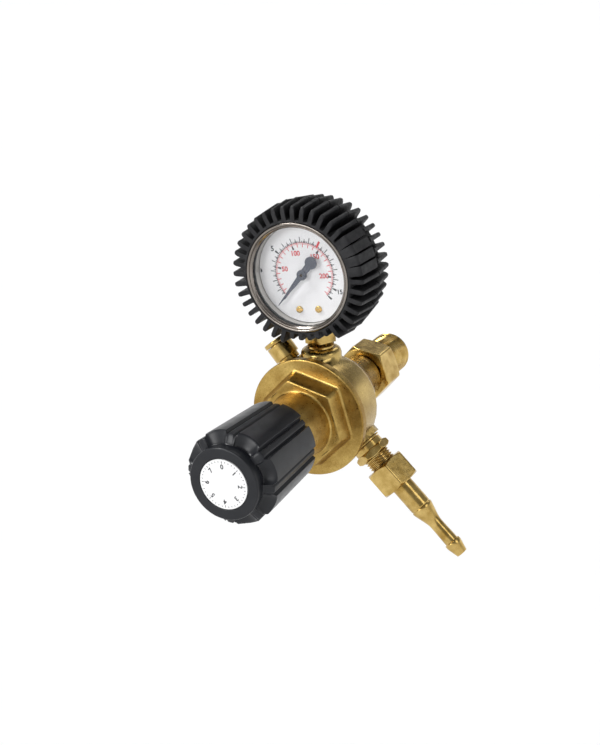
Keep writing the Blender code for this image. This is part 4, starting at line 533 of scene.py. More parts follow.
class Nodes:
    """A node tree, with short calls for the nodes that are used here."""

    def __init__(self, tree):
        self.tree = tree

    def add(self, kind, **inputs):
        """A node whose named inputs get a value or are linked to an output."""
        node = self.tree.nodes.new("ShaderNode" + kind)
        for name, value in inputs.items():
            self.feed(node.inputs[name], value)
        return node

    def feed(self, socket, value):
        if isinstance(value, bpy.types.NodeSocket):
            self.tree.links.new(value, socket)
        else:
            socket.default_value = (*value, 1.0) if isinstance(value, tuple) else value

    def ramp(self, factor, low, high, at=(0.35, 0.65)):
        """Blends from one colour or grey to another as the factor passes two places."""
        node = self.add("ValToRGB", Fac=factor)
        for element, place, value in zip(node.color_ramp.elements, at, (low, high)):
            element.position = place
            element.color = (*value, 1.0) if isinstance(value, tuple) else (value, value, value, 1.0)
        return node.outputs["Color"]

    def blend(self, factor, first, second, kind="MULTIPLY"):
        node = self.add("MixRGB", Fac=factor, Color1=first, Color2=second)
        node.blend_type = kind
        return node.outputs["Color"]


class Finish(Nodes):
    """A Principled material, with its plain look and with detail in the piece's own coordinates."""

    def __init__(self, name, colour, roughness, metallic=0.0):
        self.material = bpy.data.materials.new(name + "_finish")
        self.material.use_nodes = True
        super().__init__(self.material.node_tree)
        self.shader = self.tree.nodes["Principled BSDF"]
        self.spots = self.add("TexCoord").outputs["Object"]
        self.shader.inputs["Metallic"].default_value = metallic
        self.detailed(colour, roughness)

    def noise(self, scale, detail=3.0, roughness=0.55):
        node = self.add("TexNoise", Vector=self.spots, Scale=scale, Detail=detail, Roughness=roughness)
        return node.outputs["Fac"]

    def turning_marks(self, scale):
        """Noise that stays the same round the piece's axis."""
        parts = self.add("SeparateXYZ", Vector=self.spots).outputs
        across = self.add("CombineXYZ", X=parts["X"], Y=parts["Y"])
        length = self.add("VectorMath")
        length.operation = "LENGTH"
        self.feed(length.inputs[0], across.outputs["Vector"])
        spots = self.add("CombineXYZ", X=length.outputs["Value"], Z=parts["Z"]).outputs["Vector"]
        return self.add("TexNoise", Vector=spots, Scale=scale, Detail=3.0, Roughness=0.7).outputs["Fac"]

    def bump(self, height, strength, distance, normal=None):
        node = self.add("Bump", Height=height, Strength=strength, Distance=distance)
        if normal is not None:
            self.feed(node.inputs["Normal"], normal)
        return node.outputs["Normal"]

    def softened(self, radius):
        """A normal that rounds the edges by a small radius."""
        node = self.add("Bevel", Radius=radius)
        node.samples = 4
        return node.outputs["Normal"]

    def crevice(self, distance, dark, light, at):
        """Painted shade: one colour in corners, where less light reaches, and another on open faces."""
        node = self.add("AmbientOcclusion", Distance=distance)
        node.samples = 4
        return self.ramp(node.outputs["AO"], dark, light, at)

    def set_gloss(self, level):
        self.shader.inputs["Specular IOR Level"].default_value = level

    def detailed(self, colour=None, roughness=None, normal=None):
        """Sets or links what is given, and returns the material."""
        for socket, value in (("Base Color", colour), ("Roughness", roughness), ("Normal", normal)):
            if value is not None:
                self.feed(self.shader.inputs[socket], value)
        return self.material


def forged_brass():
    """Shot and tumbled forging: grainy satin gold, olive where the skin is thicker, with painted shade that
    turns it brown in the corners.
    """
    brass = Finish("forged_brass", (0.5, 0.34, 0.1), 0.36, 1.0)
    tone = brass.ramp(brass.noise(90.0, 4.0), (0.34, 0.205, 0.050), (0.60, 0.42, 0.135), (0.35, 0.68))
    speckle = brass.ramp(brass.noise(1500.0, 3.0, 0.7), (0.72, 0.68, 0.55), WHITE, (0.34, 0.55))
    # painted shade: brown where corners block the ambient light, unchanged on open faces
    painted_shade = brass.crevice(0.003, (0.44, 0.34, 0.21), WHITE, (0.20, 0.75))
    rough = brass.ramp(brass.noise(700.0, 4.0), 0.25, 0.42, (0.3, 0.7))
    grain = brass.bump(brass.noise(1700.0, 3.0, 0.6), 0.35, 0.00008, brass.softened(0.0004))
    swell = brass.bump(brass.noise(260.0, 2.0), 0.25, 0.0003, grain)
    return brass.detailed(brass.blend(0.8, brass.blend(0.7, tone, speckle), painted_shade), rough, swell)


def satin_brass():
    """The body's finer satin: the same brass, tumbled smoother."""
    brass = Finish("satin_brass", (0.55, 0.38, 0.12), 0.32, 1.0)
    tone = brass.ramp(brass.noise(70.0), (0.35, 0.230, 0.068), (0.57, 0.41, 0.145), (0.35, 0.68))
    # painted shade: darker brown in corners where the ambient light is blocked
    painted_shade = brass.crevice(0.004, (0.46, 0.36, 0.22), WHITE, (0.20, 0.75))
    rough = brass.ramp(brass.noise(500.0, 4.0), 0.20, 0.32, (0.3, 0.7))
    grain = brass.bump(brass.noise(2200.0, 3.0, 0.6), 0.2, 0.00005, brass.softened(0.0006))
    return brass.detailed(brass.blend(0.8, tone, painted_shade), rough, grain)


def turned_brass():
    """Machined brass: bright, with fine marks round the axis, tiny scratches and a little tarnish."""
    brass = Finish("turned_brass", (0.72, 0.52, 0.18), 0.22, 1.0)
    tarnish = brass.ramp(brass.noise(160.0, 4.0), (0.40, 0.250, 0.060), (0.70, 0.50, 0.180), (0.32, 0.66))
    # painted shade: darker in corners where the ambient light is blocked
    painted_shade = brass.crevice(0.0025, (0.42, 0.31, 0.17), WHITE, (0.15, 0.7))
    rough = brass.ramp(brass.noise(420.0), 0.13, 0.25, (0.3, 0.7))
    marks = brass.bump(brass.turning_marks(5200.0), 0.16, 0.00004)
    return brass.detailed(brass.blend(0.75, tarnish, painted_shade), rough, marks)


def bronze():
    """Sintered bronze: dull and porous."""
    metal = Finish("bronze", (0.5, 0.3, 0.12), 0.5, 1.0)
    tone = metal.ramp(metal.noise(900.0), (0.40, 0.23, 0.09), (0.58, 0.36, 0.15))
    return metal.detailed(tone, normal=metal.bump(metal.noise(3000.0), 0.5, 0.0001))


def polished_steel(name, dark, light, rough):
    """Stainless steel with fine marks round the axis, between two tones and two roughnesses."""
    steel = Finish(name, light, rough[0], 1.0)
    tone = steel.ramp(steel.noise(60.0), dark, light)
    sheen = steel.ramp(steel.noise(300.0), *rough)
    return steel.detailed(tone, sheen, steel.bump(steel.turning_marks(6000.0), 0.12, 0.00003))


def moulded_plastic():
    """Half-gloss black plastic with a very fine moulded grain and faint handling marks."""
    plastic = Finish("moulded_plastic", (0.011, 0.012, 0.014), 0.32)
    plastic.set_gloss(0.38)
    shade = plastic.ramp(plastic.noise(60.0, 4.0), (0.006, 0.007, 0.010), (0.011, 0.012, 0.015))
    handling = plastic.ramp(plastic.noise(240.0, 5.0), 0.28, 0.37)
    return plastic.detailed(shade, handling, plastic.bump(plastic.noise(3600.0, 2.0), 0.12, 0.00004))


def moulded_rubber():
    """Black rubber: matt, with a faint bloom and a fine uneven skin, painted shade in its corners and
    painted light on its open faces.
    """
    rubber = Finish("moulded_rubber", (0.006, 0.006, 0.007), 0.5)
    rubber.set_gloss(0.22)
    bloom = rubber.ramp(rubber.noise(220.0, 5.0, 0.65), (0.007, 0.007, 0.008), (0.016, 0.016, 0.017))
    # painted shade in corners and painted light, up to 1.6 times brighter, on open faces, by ambient
    # occlusion
    depth = rubber.crevice(0.004, (0.25, 0.25, 0.28), (1.6, 1.6, 1.6), (0.35, 0.85))
    rough = rubber.ramp(rubber.noise(400.0, 4.0), 0.40, 0.62)
    skin = rubber.bump(rubber.noise(1800.0), 0.22, 0.00008)
    return rubber.detailed(rubber.blend(1.0, bloom, depth), rough, skin)


def seal_rubber():
    """Dull nitrile rubber."""
    rubber = Finish("seal_rubber", (0.03, 0.03, 0.03), 0.65)
    tone = rubber.ramp(rubber.noise(700.0), (0.02, 0.02, 0.02), (0.04, 0.04, 0.04))
    return rubber.detailed(tone, normal=rubber.bump(rubber.noise(2500.0), 0.3, 0.00005))


def printed_white(name, colour, roughness):
    """White enamel or film with barely uneven tone and gloss."""
    white = Finish(name, colour, roughness)
    darker = tuple(0.965 * value for value in colour)
    tone = white.ramp(white.noise(120.0, 4.0), darker, colour)
    rough = white.ramp(white.noise(900.0), roughness * 0.9, roughness * 1.15)
    return white.detailed(tone, rough, white.bump(white.noise(2600.0), 0.08, 0.00003))


def printed_ink(name, colour):
    """Screen-printed ink, a little uneven in density."""
    ink = Finish(name, colour, 0.5)
    lighter = tuple(min(1.0, value * 1.35 + 0.01) for value in colour)
    return ink.detailed(ink.ramp(ink.noise(1500.0), colour, lighter))


def slate_paint():
    """The pointer's dark blue-grey paint."""
    paint = Finish("slate_paint", (0.10, 0.115, 0.15), 0.42)
    tone = paint.ramp(paint.noise(500.0), (0.045, 0.052, 0.075), (0.065, 0.073, 0.10))
    return paint.detailed(tone, normal=paint.bump(paint.noise(3000.0), 0.1, 0.00003))


def clear_lens():
    """A thin clear window: nearly all light goes through, and the rest is its gloss."""
    lens = Finish("clear_lens", (0.60, 0.63, 0.66), 0.03)
    lens.shader.inputs["Alpha"].default_value = 0.045
    return lens.detailed(roughness=lens.ramp(lens.noise(90.0), 0.02, 0.06))


FINISH = {
    "forged_brass": forged_brass(),
    "satin_brass": satin_brass(),
    "turned_brass": turned_brass(),
    "bronze": bronze(),
    "steel": polished_steel("bezel_steel", (0.21, 0.185, 0.165), (0.33, 0.30, 0.27), (0.12, 0.24)),
    "case_steel": polished_steel("case_steel", (0.60, 0.575, 0.54), (0.72, 0.70, 0.66), (0.30, 0.42)),
    "black_plastic": moulded_plastic(),
    "rubber": moulded_rubber(),
    "seal_rubber": seal_rubber(),
    "white_label": printed_white("white_label", (0.86, 0.86, 0.86), 0.4),
    "white_dial": printed_white("white_dial", (0.93, 0.925, 0.94), 0.45),
    "slate": slate_paint(),
    "lens": clear_lens(),
    "black_ink": printed_ink("black_ink", (0.03, 0.03, 0.035)),
    "red_ink": printed_ink("red_ink", (0.60, 0.03, 0.04)),
}


# Bonnet and knob

def build_bonnet():
    """The forged bonnet: neck, hexagon with rounded edges, flange, and its hollow for the spring."""
    low, high, flange = measured("bonnet", MAIN)
    y_back = measured("body", MAIN)[0] - SLIT
    y_front = y_back - FLANGE_THICKNESS
    y_face = y_front - HEX_HEIGHT
    y_cavity = low + SCREW_BORE_LENGTH
    turns = angles(FINE, HEX_TURN)
    crest = hexagon_radii(turns, HEX_CREST * sqrt(3), HEX_TURN, HEX_WEAR)
    root = hexagon_radii(turns, HEX_ROOT * sqrt(3), HEX_TURN, HEX_WEAR)
    soft, fillet = SOFT_EDGE, NECK_FILLET
    rows = rounded([
        (SCREW_BORE_RADIUS, low, 0.0), (NECK_RADIUS - NECK_TAPER, low, soft), (NECK_RADIUS, y_face, fillet),
        (NECK_RADIUS + 2 * fillet, y_face, 0.0),
    ], 5)
    rows += [(crest - inwards * soft, y_face + back * soft) for inwards, back in HEX_BROW]
    rows += [(root + outwards * fillet, y_front - forward * fillet) for outwards, forward in HEX_FOOT]
    rows += rounded([
        (flange - 3 * soft, y_front, 0.0), (flange, y_front, soft), (flange, y_back, soft / 2),
        (SPIGOT_RADIUS, y_back, 0.0), (SPIGOT_RADIUS, high, 0.0), (DIAPHRAGM_BORE_RADIUS, high, 0.0),
        (DIAPHRAGM_BORE_RADIUS, y_front + FLANGE_THICKNESS / 3, 0.0),
        (SPRING_CAVITY_RADIUS, y_face + HEX_HEIGHT / 2, 0.0), (SPRING_CAVITY_RADIUS, y_cavity, 0.0),
        (SCREW_BORE_RADIUS, y_cavity, 0.0),
    ], 4)
    dress(loft("bonnet_forging", rows, MAIN, turns), "forged_brass", FIXED, "bonnet")


def smooth_step(value, low, high):
    t = np.clip((value - low) / (high - low), 0.0, 1.0)
    return t * t * (3 - 2 * t)


def knob_section(share, size):
    """Radii across one pitch of the grip: broad lobe, groove and the narrow bead in it."""
    away = np.abs(share)
    radii = size - KNOB_GROOVE * smooth_step(away, LOBE_SHARE, GROOVE_SHARES[0])
    return radii + KNOB_GROOVE / 2 * smooth_step(away, GROOVE_SHARES[1], BEAD_SHARE)


def knob_front(share, y, y_bead, y_lobe, floor):
    """Radii across one pitch where scooped pockets end at the lobes, and the beads start further forward."""
    scoop = np.sqrt(np.clip(1.0 - (share / POCKET_SHARE) ** 2, 0.0, 1.0))
    rise = smooth_step(y - y_bead - (y_lobe - y_bead) * scoop, -POCKET_RUN, POCKET_RUN)
    return floor + (knob_section(share, KNOB_FRONT_RADIUS) - floor) * rise


def build_knob():
    """The moulded knob with eight broad lobes, pockets before them and beads between them."""
    y_face, y_rear, _ = measured("adjusting_knob", MAIN)
    y_head, _, head = measured("adjusting_screw", MAIN)
    label = measured("knob_label", MAIN)[2] + SLIT
    socket = head + SLIT
    y_cavity = y_head + KNOB_SOCKET_LENGTH
    y_bead = y_face + BEAD_START
    y_lobe = y_face + LOBE_START
    y_start = y_bead - POCKET_RUN
    y_end = y_lobe + 1.2 * POCKET_RUN
    turns = angles(LOBES * KNOB_SAMPLES, LOBE_TURN)
    share = np.mod((turns - LOBE_TURN) / (2 * pi / LOBES) + 0.5, 1.0) - 0.5
    rows = rounded([
        (label, y_face + LABEL_DEPTH + SLIT, 0.0), (label, y_face, SLIT),
        (KNOB_FACE_RADIUS, y_face, KNOB_EDGE), (KNOB_FACE_RADIUS, y_face + KNOB_RIM, 0.0),
    ], 4)
    for i in range(POCKET_ROWS + 1):
        y = y_start + (y_end - y_start) * i / POCKET_ROWS
        floor = KNOB_FACE_RADIUS + (y - y_start) * POCKET_SLOPE
        rows.append((knob_front(share, y, y_bead, y_lobe, floor), y))
    for i in range(1, GRIP_ROWS + 1):
        t = i / GRIP_ROWS
        size = KNOB_FRONT_RADIUS + (KNOB_REAR_RADIUS - KNOB_FRONT_RADIUS) * t
        rows.append((knob_section(share, size), y_end + (y_rear - KNOB_EDGE - y_end) * t))
    rows += [
        (knob_section(share, KNOB_REAR_RADIUS - KNOB_EDGE / 5), y_rear - KNOB_EDGE / 3),
        (knob_section(share, KNOB_REAR_RADIUS - KNOB_EDGE), y_rear), (KNOB_CAVITY_RADIUS, y_rear),
        (KNOB_CAVITY_RADIUS, y_cavity), (socket, y_cavity), (socket, y_head - SLIT),
    ]
    dress(loft("knob_moulding", rows, MAIN, turns, hollow=False), "black_plastic", "knob", "adjusting_knob")


def build_label():
    """The round label in the knob's face, with plain ticks and numbers."""
    y_face, y_back, radius = measured("knob_label", MAIN)
    corners = [(radius, y_back, 0.0), (radius, y_face, EDGE / 2), (radius / 2, y_face, 0.0)]
    dress(turned("knob_disc", corners, MAIN, hollow=False), "white_label", "knob", "knob_label")
    ink = y_face - INK
    long_start, short_start, end = [radius * share for share in LABEL_TICK_ENDS]
    marks = bmesh.new()
    for k in range(LABEL_TICKS):
        start = short_start if k % (LABEL_TICKS // LABEL_NUMBERS) else long_start
        flat_mark(marks, 2 * pi * k / LABEL_TICKS, start, end, LABEL_TICK_WIDTH, LABEL_TICK_WIDTH, ink)
    dress(add_piece("label_ticks", marks, MAIN), "black_ink", "knob")
    ring = radius * LABEL_NUMBER_SHARE
    for k in range(LABEL_NUMBERS):
        turn = 2 * pi * k / LABEL_NUMBERS
        number = printed_number("label", k, LABEL_NUMBER_SIZE, ring, turn, ink, MAIN, turn)
        dress(number, "black_ink", "knob")


# Machined pieces

def build_inlet_nut():
    """The inlet nut: hexagon, external thread, and a recess for the head of the stem that it turns on."""
    low, high, _ = measured("inlet_nut", MAIN)
    y_hex = low + INLET_HEX_LENGTH
    y_recess = high - INLET_RECESS_DEPTH
    thread, recess, bore = INLET_THREAD_RADIUS, INLET_RECESS_RADIUS, INLET_BORE_RADIUS
    turns = angles(FINE, INLET_HEX_TURN)
    rows = nut_rows(turns, INLET_HEX_ACROSS, INLET_HEX_TURN, low, y_hex)
    rows += [(thread - THREAD_DEPTH, y_hex)]
    rows += thread_rows(turns, thread, y_hex + EDGE, high - INLET_CHAMFER, THREAD_PITCH, THREAD_DEPTH)
    rows += [
        (thread - INLET_CHAMFER, high), (recess + EDGE, high), (recess, high - EDGE), (recess, y_recess),
        (bore, y_recess), (bore, low + EDGE), (bore + EDGE, low),
    ]
    dress(loft("inlet_nut_turning", rows, MAIN, turns), "turned_brass", "inlet_nut", "inlet_nut")


def build_adapter():
    """The outlet's adapter: collar on its washer, hexagon, and a left-hand thread with a cone seat."""
    low, high, _ = measured("outlet_adapter", OUTLET)
    seat = measured("outlet_washer", OUTLET)[1] + SLIT
    hex_low = seat + ADAPTER_COLLAR_LENGTH
    hex_high = hex_low + ADAPTER_HEX_LENGTH
    collar, thread, bore = ADAPTER_COLLAR_RADIUS, ADAPTER_THREAD_RADIUS, ADAPTER_BORE_RADIUS
    turns = angles(FINE, ADAPTER_HEX_TURN)
    rows = [
        (bore, low), (thread - EDGE, low), (thread, low + EDGE), (thread, seat), (collar - EDGE, seat),
        (collar, seat + EDGE), (collar, hex_low),
    ]
    rows += nut_rows(turns, ADAPTER_HEX_ACROSS, ADAPTER_HEX_TURN, hex_low, hex_high)
    rows += [(thread - OUTLET_DEPTH, hex_high)]
    rows += thread_rows(turns, thread, hex_high + EDGE, high - 2 * EDGE, OUTLET_PITCH, OUTLET_DEPTH, -1)
    rows += [(thread - 3 * EDGE, high), (bore + ADAPTER_SEAT_DEPTH, high), (bore, high - ADAPTER_SEAT_DEPTH)]
    dress(loft("adapter_turning", rows, OUTLET, turns), "turned_brass", FIXED, "outlet_adapter")


def build_outlet_washer():
    low, high, radius = measured("outlet_washer", OUTLET)
    hole = ADAPTER_THREAD_RADIUS + SLIT
    corners = [(hole, low, 0.0), (radius, low, EDGE), (radius, high, EDGE), (hole, high, 0.0)]
    dress(turned("outlet_washer_ring", corners, OUTLET), "turned_brass", FIXED, "outlet_washer")


def build_union_nut():
    """The union nut: hexagon with a threaded bore and a neck that holds the hose tail's collar."""
    low, high, _ = measured("union_nut", OUTLET)
    bore, neck = UNION_BORE_RADIUS, UNION_NECK_RADIUS
    shoulder = high - UNION_NECK_LENGTH
    turns = angles(FINE, UNION_TURN)
    rows = nut_rows(turns, UNION_ACROSS, UNION_TURN, low, high)
    rows += [
        (neck + EDGE, high), (neck, high - EDGE), (neck, shoulder), (bore, shoulder), (bore, low + 2 * EDGE),
        (bore + 2 * EDGE, low),
    ]
    dress(loft("union_nut_turning", rows, OUTLET, turns), "turned_brass", "union_nut", "union_nut")


def build_hose_tail():
    """The hose tail: cone nose, collar in the nut, shank with its groove, cone, stem and barb."""
    nose, tip, collar = measured("hose_tail", OUTLET)
    flare = tip - BARB_TIP_LENGTH
    cone = flare - BARB_STEM_LENGTH
    shoulder = cone - BARB_CONE_LENGTH
    groove_start, groove_floor, groove_end = [shoulder - length for length in SHANK_GROOVE]
    collar_high = measured("union_nut", OUTLET)[1] - UNION_NECK_LENGTH - SLIT
    collar_low = collar_high - COLLAR_LENGTH
    bore, shank = BARB_BORE_RADIUS, BARB_SHANK_RADIUS
    corners = [
        (bore, nose, 0.0), (NOSE_RADIUS, nose, 0.0), (NOSE_RADIUS + collar_low - nose, collar_low, 0.0),
        (collar, collar_low, EDGE), (collar, collar_high, EDGE), (shank, collar_high, 0.0),
        (shank, groove_start, EDGE), (shank - EDGE, groove_floor, EDGE),
        (BARB_SHOULDER_RADIUS, groove_end, EDGE), (BARB_SHOULDER_RADIUS, shoulder, 2 * EDGE),
        (BARB_STEM_RADIUS, cone, BARB_STEM_FILLET), (BARB_STEM_RADIUS * BARB_STEM_SPREAD, flare, 0.0),
        (BARB_FLARE_RADIUS, flare + SLIT, EDGE),
        (BARB_FLARE_RADIUS, flare + BARB_LAND_LENGTH, BARB_LAND_EDGE), (BARB_TIP_RADIUS, tip, EDGE),
        (bore, tip, 0.0),
    ]
    dress(turned("hose_tail_turning", corners, OUTLET), "turned_brass", "hose_tail", "hose_tail")


def build_relief_valve():
    """The relief valve's stepped barrel with its seat."""
    low, rim, barrel = measured("relief_body", RELIEF)
    seat = measured("relief_seal", RELIEF)[0] - SLIT
    base_low = seat - RELIEF_SEAT_THICKNESS
    base_high = base_low + RELIEF_BASE_LENGTH
    hole, bore = RELIEF_HOLE_RADIUS, RELIEF_BORE_RADIUS
    thread, base = RELIEF_THREAD_RADIUS, RELIEF_BASE_RADIUS
    corners = [
        (hole, low, 0.0), (thread, low, 0.0), (thread, base_low, 0.0), (base, base_low, EDGE),
        (base, base_high, 0.0), (barrel, base_high, 2 * EDGE), (barrel, rim, EDGE), (bore, rim, 0.0),
        (bore, seat, 0.0), (hole, seat, 0.0),
    ]
    dress(turned("relief_barrel", corners, RELIEF), "turned_brass", FIXED, "relief_body")


def build_relief_cap():
    """The relief valve's cap, with its vent hole and the spigot that centres it."""
    low, high, radius = measured("relief_cap", RELIEF)
    under = low + CAP_SPIGOT_LENGTH
    hole, outer = RELIEF_HOLE_RADIUS, RELIEF_BORE_RADIUS - SLIT
    inner = outer - CAP_SPIGOT_WALL
    corners = [
        (hole, under, 0.0), (inner, under, 0.0), (inner, low, 0.0), (outer, low, 0.0), (outer, under, 0.0),
        (radius, under, EDGE), (radius, high, 2 * EDGE), (hole, high, EDGE),
    ]
    dress(turned("relief_lid", corners, RELIEF), "turned_brass", FIXED, "relief_cap")


# Gauge

def build_bezel():
    """The bezel ring, with a bead and a groove round its lip."""
    low, high, radius = measured("gauge_bezel", GAUGE)
    lip = radius - BEZEL_LIP
    barrel = radius - BEZEL_WALL
    y_lip = low + BEZEL_LIP_THICKNESS
    corners = [(lip, y_lip, 0.0)]
    corners += [(lip + outwards, low + back, setback) for outwards, back, setback in BEZEL_BEAD]
    corners += [(radius, low, BEZEL_EDGE), (radius, high, EDGE), (barrel, high, EDGE), (barrel, y_lip, 0.0)]
    dress(turned("bezel_ring", corners, GAUGE, FINE), "steel", FIXED, "gauge_bezel")


def build_lens():
    low, high, radius = measured("gauge_lens", GAUGE)
    corners = [(radius / 2, high, 0.0), (radius, high, EDGE), (radius, low, EDGE), (radius / 2, low, 0.0)]
    dress(turned("lens_window", corners, GAUGE, hollow=False), "lens", FIXED, "gauge_lens")


def flat_mark(bm, turn, inner, outer, inner_width, outer_width, height):
    """One printed mark between two radii, with its width at both."""
    along = Vector((sin(turn), -cos(turn), 0.0))
    across = Vector((-along.y, along.x, 0.0))
    lift = Vector((0.0, 0.0, height))
    ends = ((inner, -inner_width), (outer, -outer_width), (outer, outer_width), (inner, inner_width))
    bm.faces.new([bm.verts.new(along * radius + across * width / 2 + lift) for radius, width in ends])


def scale_mark(bm, turn, mark, height):
    """One mark of a scale, whose ends count from the line that both scales share."""
    start, end, *widths = mark
    flat_mark(bm, turn, SCALE_RADIUS + start, SCALE_RADIUS + end, *widths, height)


def outer_turn(reading):
    return SCALE_START + SCALE_SWEEP * reading / OUTER_FULL


def inner_turn(reading):
    return SCALE_START + SCALE_SWEEP * reading / INNER_FULL


def scale_line(bm, inner, outer, height, steps=96):
    """A printed arc along the scales."""
    previous = None
    for i in range(steps + 1):
        turn = SCALE_START + SCALE_SWEEP * i / steps
        pair = [bm.verts.new((*polar(radius, turn), height)) for radius in (inner, outer)]
        if previous:
            bm.faces.new((previous[0], previous[1], pair[1], pair[0]))
        previous = pair


def build_black_marks(height):
    """The ticks of the outer scale, the wedges at its numbers and at the inner ones, and a notch."""
    black = bmesh.new()
    for step in range(int(OUTER_FULL) * 5 + 1):
        scale_mark(black, outer_turn(step / 5), OUTER_FIFTH if step % 5 else OUTER_UNIT, height)
    for step in range(int(OUTER_FULL)):
        scale_mark(black, outer_turn(step + 0.5), OUTER_HALF, height)
    for reading in OUTER_WEDGES:
        scale_mark(black, outer_turn(reading), OUTER_WEDGE, height)
    for reading in INNER_NUMBERS:
        scale_mark(black, inner_turn(reading), INNER_WEDGE, height)
    scale_line(black, SCALE_RADIUS, SCALE_RADIUS + BLACK_LINE, height)
    scale_mark(black, NOTCH_TURN, NOTCH_MARK, height)
    dress(add_piece("scale_black", black, DIAL), "black_ink", FIXED)


def build_red_marks(height):
    """The ticks of the inner scale and the warning mark."""
    red = bmesh.new()
    for step in range(int(INNER_FULL) // INNER_STEP + 1):
        scale_mark(red, inner_turn(step * INNER_STEP), INNER_TWO if step % 5 else INNER_TEN, height)
    scale_line(red, SCALE_RADIUS - RED_LINE, SCALE_RADIUS, height)
    scale_mark(red, outer_turn(WARNING_READING), WARNING_MARK, height - INK / 2)
    dress(add_piece("scale_red", red, DIAL), "red_ink", FIXED)


def printed_number(name, number, size, radius, turn, height, place, lean=0.0):
    """A number printed upright, or leaning, at a place on a dial."""
    name = f"{name}_{number}"
    curve = bpy.data.curves.new(name, "FONT")
    curve.body = str(number)
    curve.size = size
    curve.offset = BOLD
    curve.align_x = "CENTER"
    curve.align_y = "CENTER"
    writer = add_object(name + "_writer", curve, Matrix.Identity(4))
    bpy.context.view_layer.update()
    mesh = bpy.data.meshes.new_from_object(writer.evaluated_get(bpy.context.evaluated_depsgraph_get()))
    bpy.data.objects.remove(writer, do_unlink=True)
    spot = Matrix.Translation((*polar(radius, turn), height))
    mesh.transform(spot @ Matrix.Rotation(lean, 4, "Z") @ Matrix.Rotation(pi, 4, "X"))
    return add_object(name, mesh, place)


def build_dial_screw(node, seat):
    """A domed, slotted screw with its head on the dial."""
    centre = middle(node)
    place = Matrix.Translation((centre.x, 0.0, centre.z)) @ LAY_DOWN
    _, tip, _ = measured(node, place)
    crown = seat - SCREW_HEAD_HEIGHT
    head, shank = SCREW_HEAD_RADIUS, SCREW_SHANK_RADIUS
    corners = [
        (shank / 2, crown, 0.0), (head, crown, SCREW_HEAD_EDGE), (head, seat, 0.0), (shank, seat, 0.0),
        (shank, tip, EDGE), (shank / 2, tip, 0.0),
    ]
    screw = turned(node + "_turning", corners, place, SMALL, hollow=False)
    x, y = 2 * head, SCREW_SLOT_WIDTH / 2
    outline = [(-x, -y), (x, -y), (x, y), (-x, y)]
    cut(screw, plate("slot_tool", outline, crown - EDGE, seat - SCREW_HEAD_HEIGHT / 2, place))
    dress(screw, "turned_brass", FIXED, node)


def build_dial():
    """The white dial with its printed scales and numbers, and its two screws."""
    low, _, radius = measured("gauge_dial", DIAL)
    face = low + DIAL_SINK
    back = face + DIAL_SHEET
    hole = DIAL_HOLE_RADIUS
    corners = [(hole, back, 0.0), (radius, back, 0.0), (radius, face, EDGE / 4), (hole, face, 0.0)]
    dress(turned("dial_face", corners, DIAL), "white_dial", FIXED, "gauge_dial")
    for node in ("dial_screw_left", "dial_screw_right"):
        build_dial_screw(node, face)
    ink = face - INK
    build_black_marks(ink)
    build_red_marks(ink)
    for reading, size in OUTER_NUMBERS.items():
        number = printed_number("outer", reading, size, OUTER_NUMBER_RADIUS, outer_turn(reading), ink, DIAL)
        dress(number, "black_ink", FIXED)
    for reading in INNER_NUMBERS:
        turn = inner_turn(reading)
        number = printed_number("inner", reading, INNER_NUMBER_SIZE, INNER_NUMBER_RADIUS, turn, ink, DIAL)
        dress(number, "red_ink", FIXED)


def build_pointer():
    """The pointer: slim needle, domed hub and flared tail."""
    low, high, reach = measured("gauge_pointer", DIAL)
    reach += NEEDLE_EXTRA
    side = [(reach * share, half_width) for share, half_width in NEEDLE_SIDE]
    side += [(-POINTER_HUB_RADIUS, NEEDLE_FOOT), (-TAIL_START, TAIL_NECK / 2)]
    start = asin(TAIL_NECK / TAIL_DISC)
    for i in range(TAIL_STEPS + 1):
        turn = start + (pi - start) * i / TAIL_STEPS
        side.append((TAIL_DISC / 2 * cos(turn) - TAIL_CENTRE, TAIL_DISC / 2 * max(sin(turn), TAIL_TIP)))
    x, y = polar(1.0, SCALE_START)
    outline = []
    for along, width in side + [(along, -width) for along, width in reversed(side)]:
        outline.append((along * x - width * y, along * y + width * x))
    needle = plate("pointer_needle", outline, low + SLIT, high - SLIT, DIAL)
    dress(needle, "slate", "pointer", "gauge_pointer")
    hub, bore = POINTER_HUB_RADIUS, POINTER_BORE_RADIUS
    corners = [(bore, high, 0.0), (hub, high, 0.0), (hub, low, POINTER_HUB_EDGE), (bore, low, 0.0)]
    dress(turned("pointer_hub", corners, DIAL, SMALL), "slate", "pointer")


def fin_samples(radius):
    """Each sample round the boot: its angle, its fin's middle, and its height shares behind and in front."""
    half_pitch = pi / FINS
    groove = BAR_GROOVE / radius / 2
    across = [(offset * FIN_THICKNESS / radius / 2, share) for offset, share in FIN_FOOT]
    across += [(offset * FIN_TIP_THICKNESS / radius / 2, share) for offset, share in FIN_CROWN]
    fin = [(offset, share, share) for offset, share in across]
    bar = [(BAR_FOOT * half_pitch, 0.0, 0.0), (half_pitch - groove, 0.0, BAR_SHOULDER)]
    bar += [(half_pitch - 2 * groove, 0.0, 1.0)] + [(offset, share, 1.0) for offset, share in across]
    samples = []
    for k in range(FINS):
        middle_turn = 2 * half_pitch * k
        half = bar if BARS_FROM < middle_turn < BARS_TO else fin
        for side, entries in ((-1, half), (1, reversed(half))):
            for offset, rear, front in entries:
                samples.append((middle_turn + side * offset, middle_turn, rear, front))
    return samples


def boot_radii(samples, base, height, in_front):
    """The boot's radius at each sample for one height of its fins."""
    radii = []
    for _, middle_turn, rear, front in samples:
        rise = min(height, SHORT_FIN_HEIGHT) if SHORT_FROM < middle_turn < SHORT_TO else height
        if BARS_FROM < middle_turn < BARS_TO and in_front:
            rise *= BAR_HEIGHT_SHARE
        radii.append(base + rise * (front if in_front else rear))
    return np.array(radii)


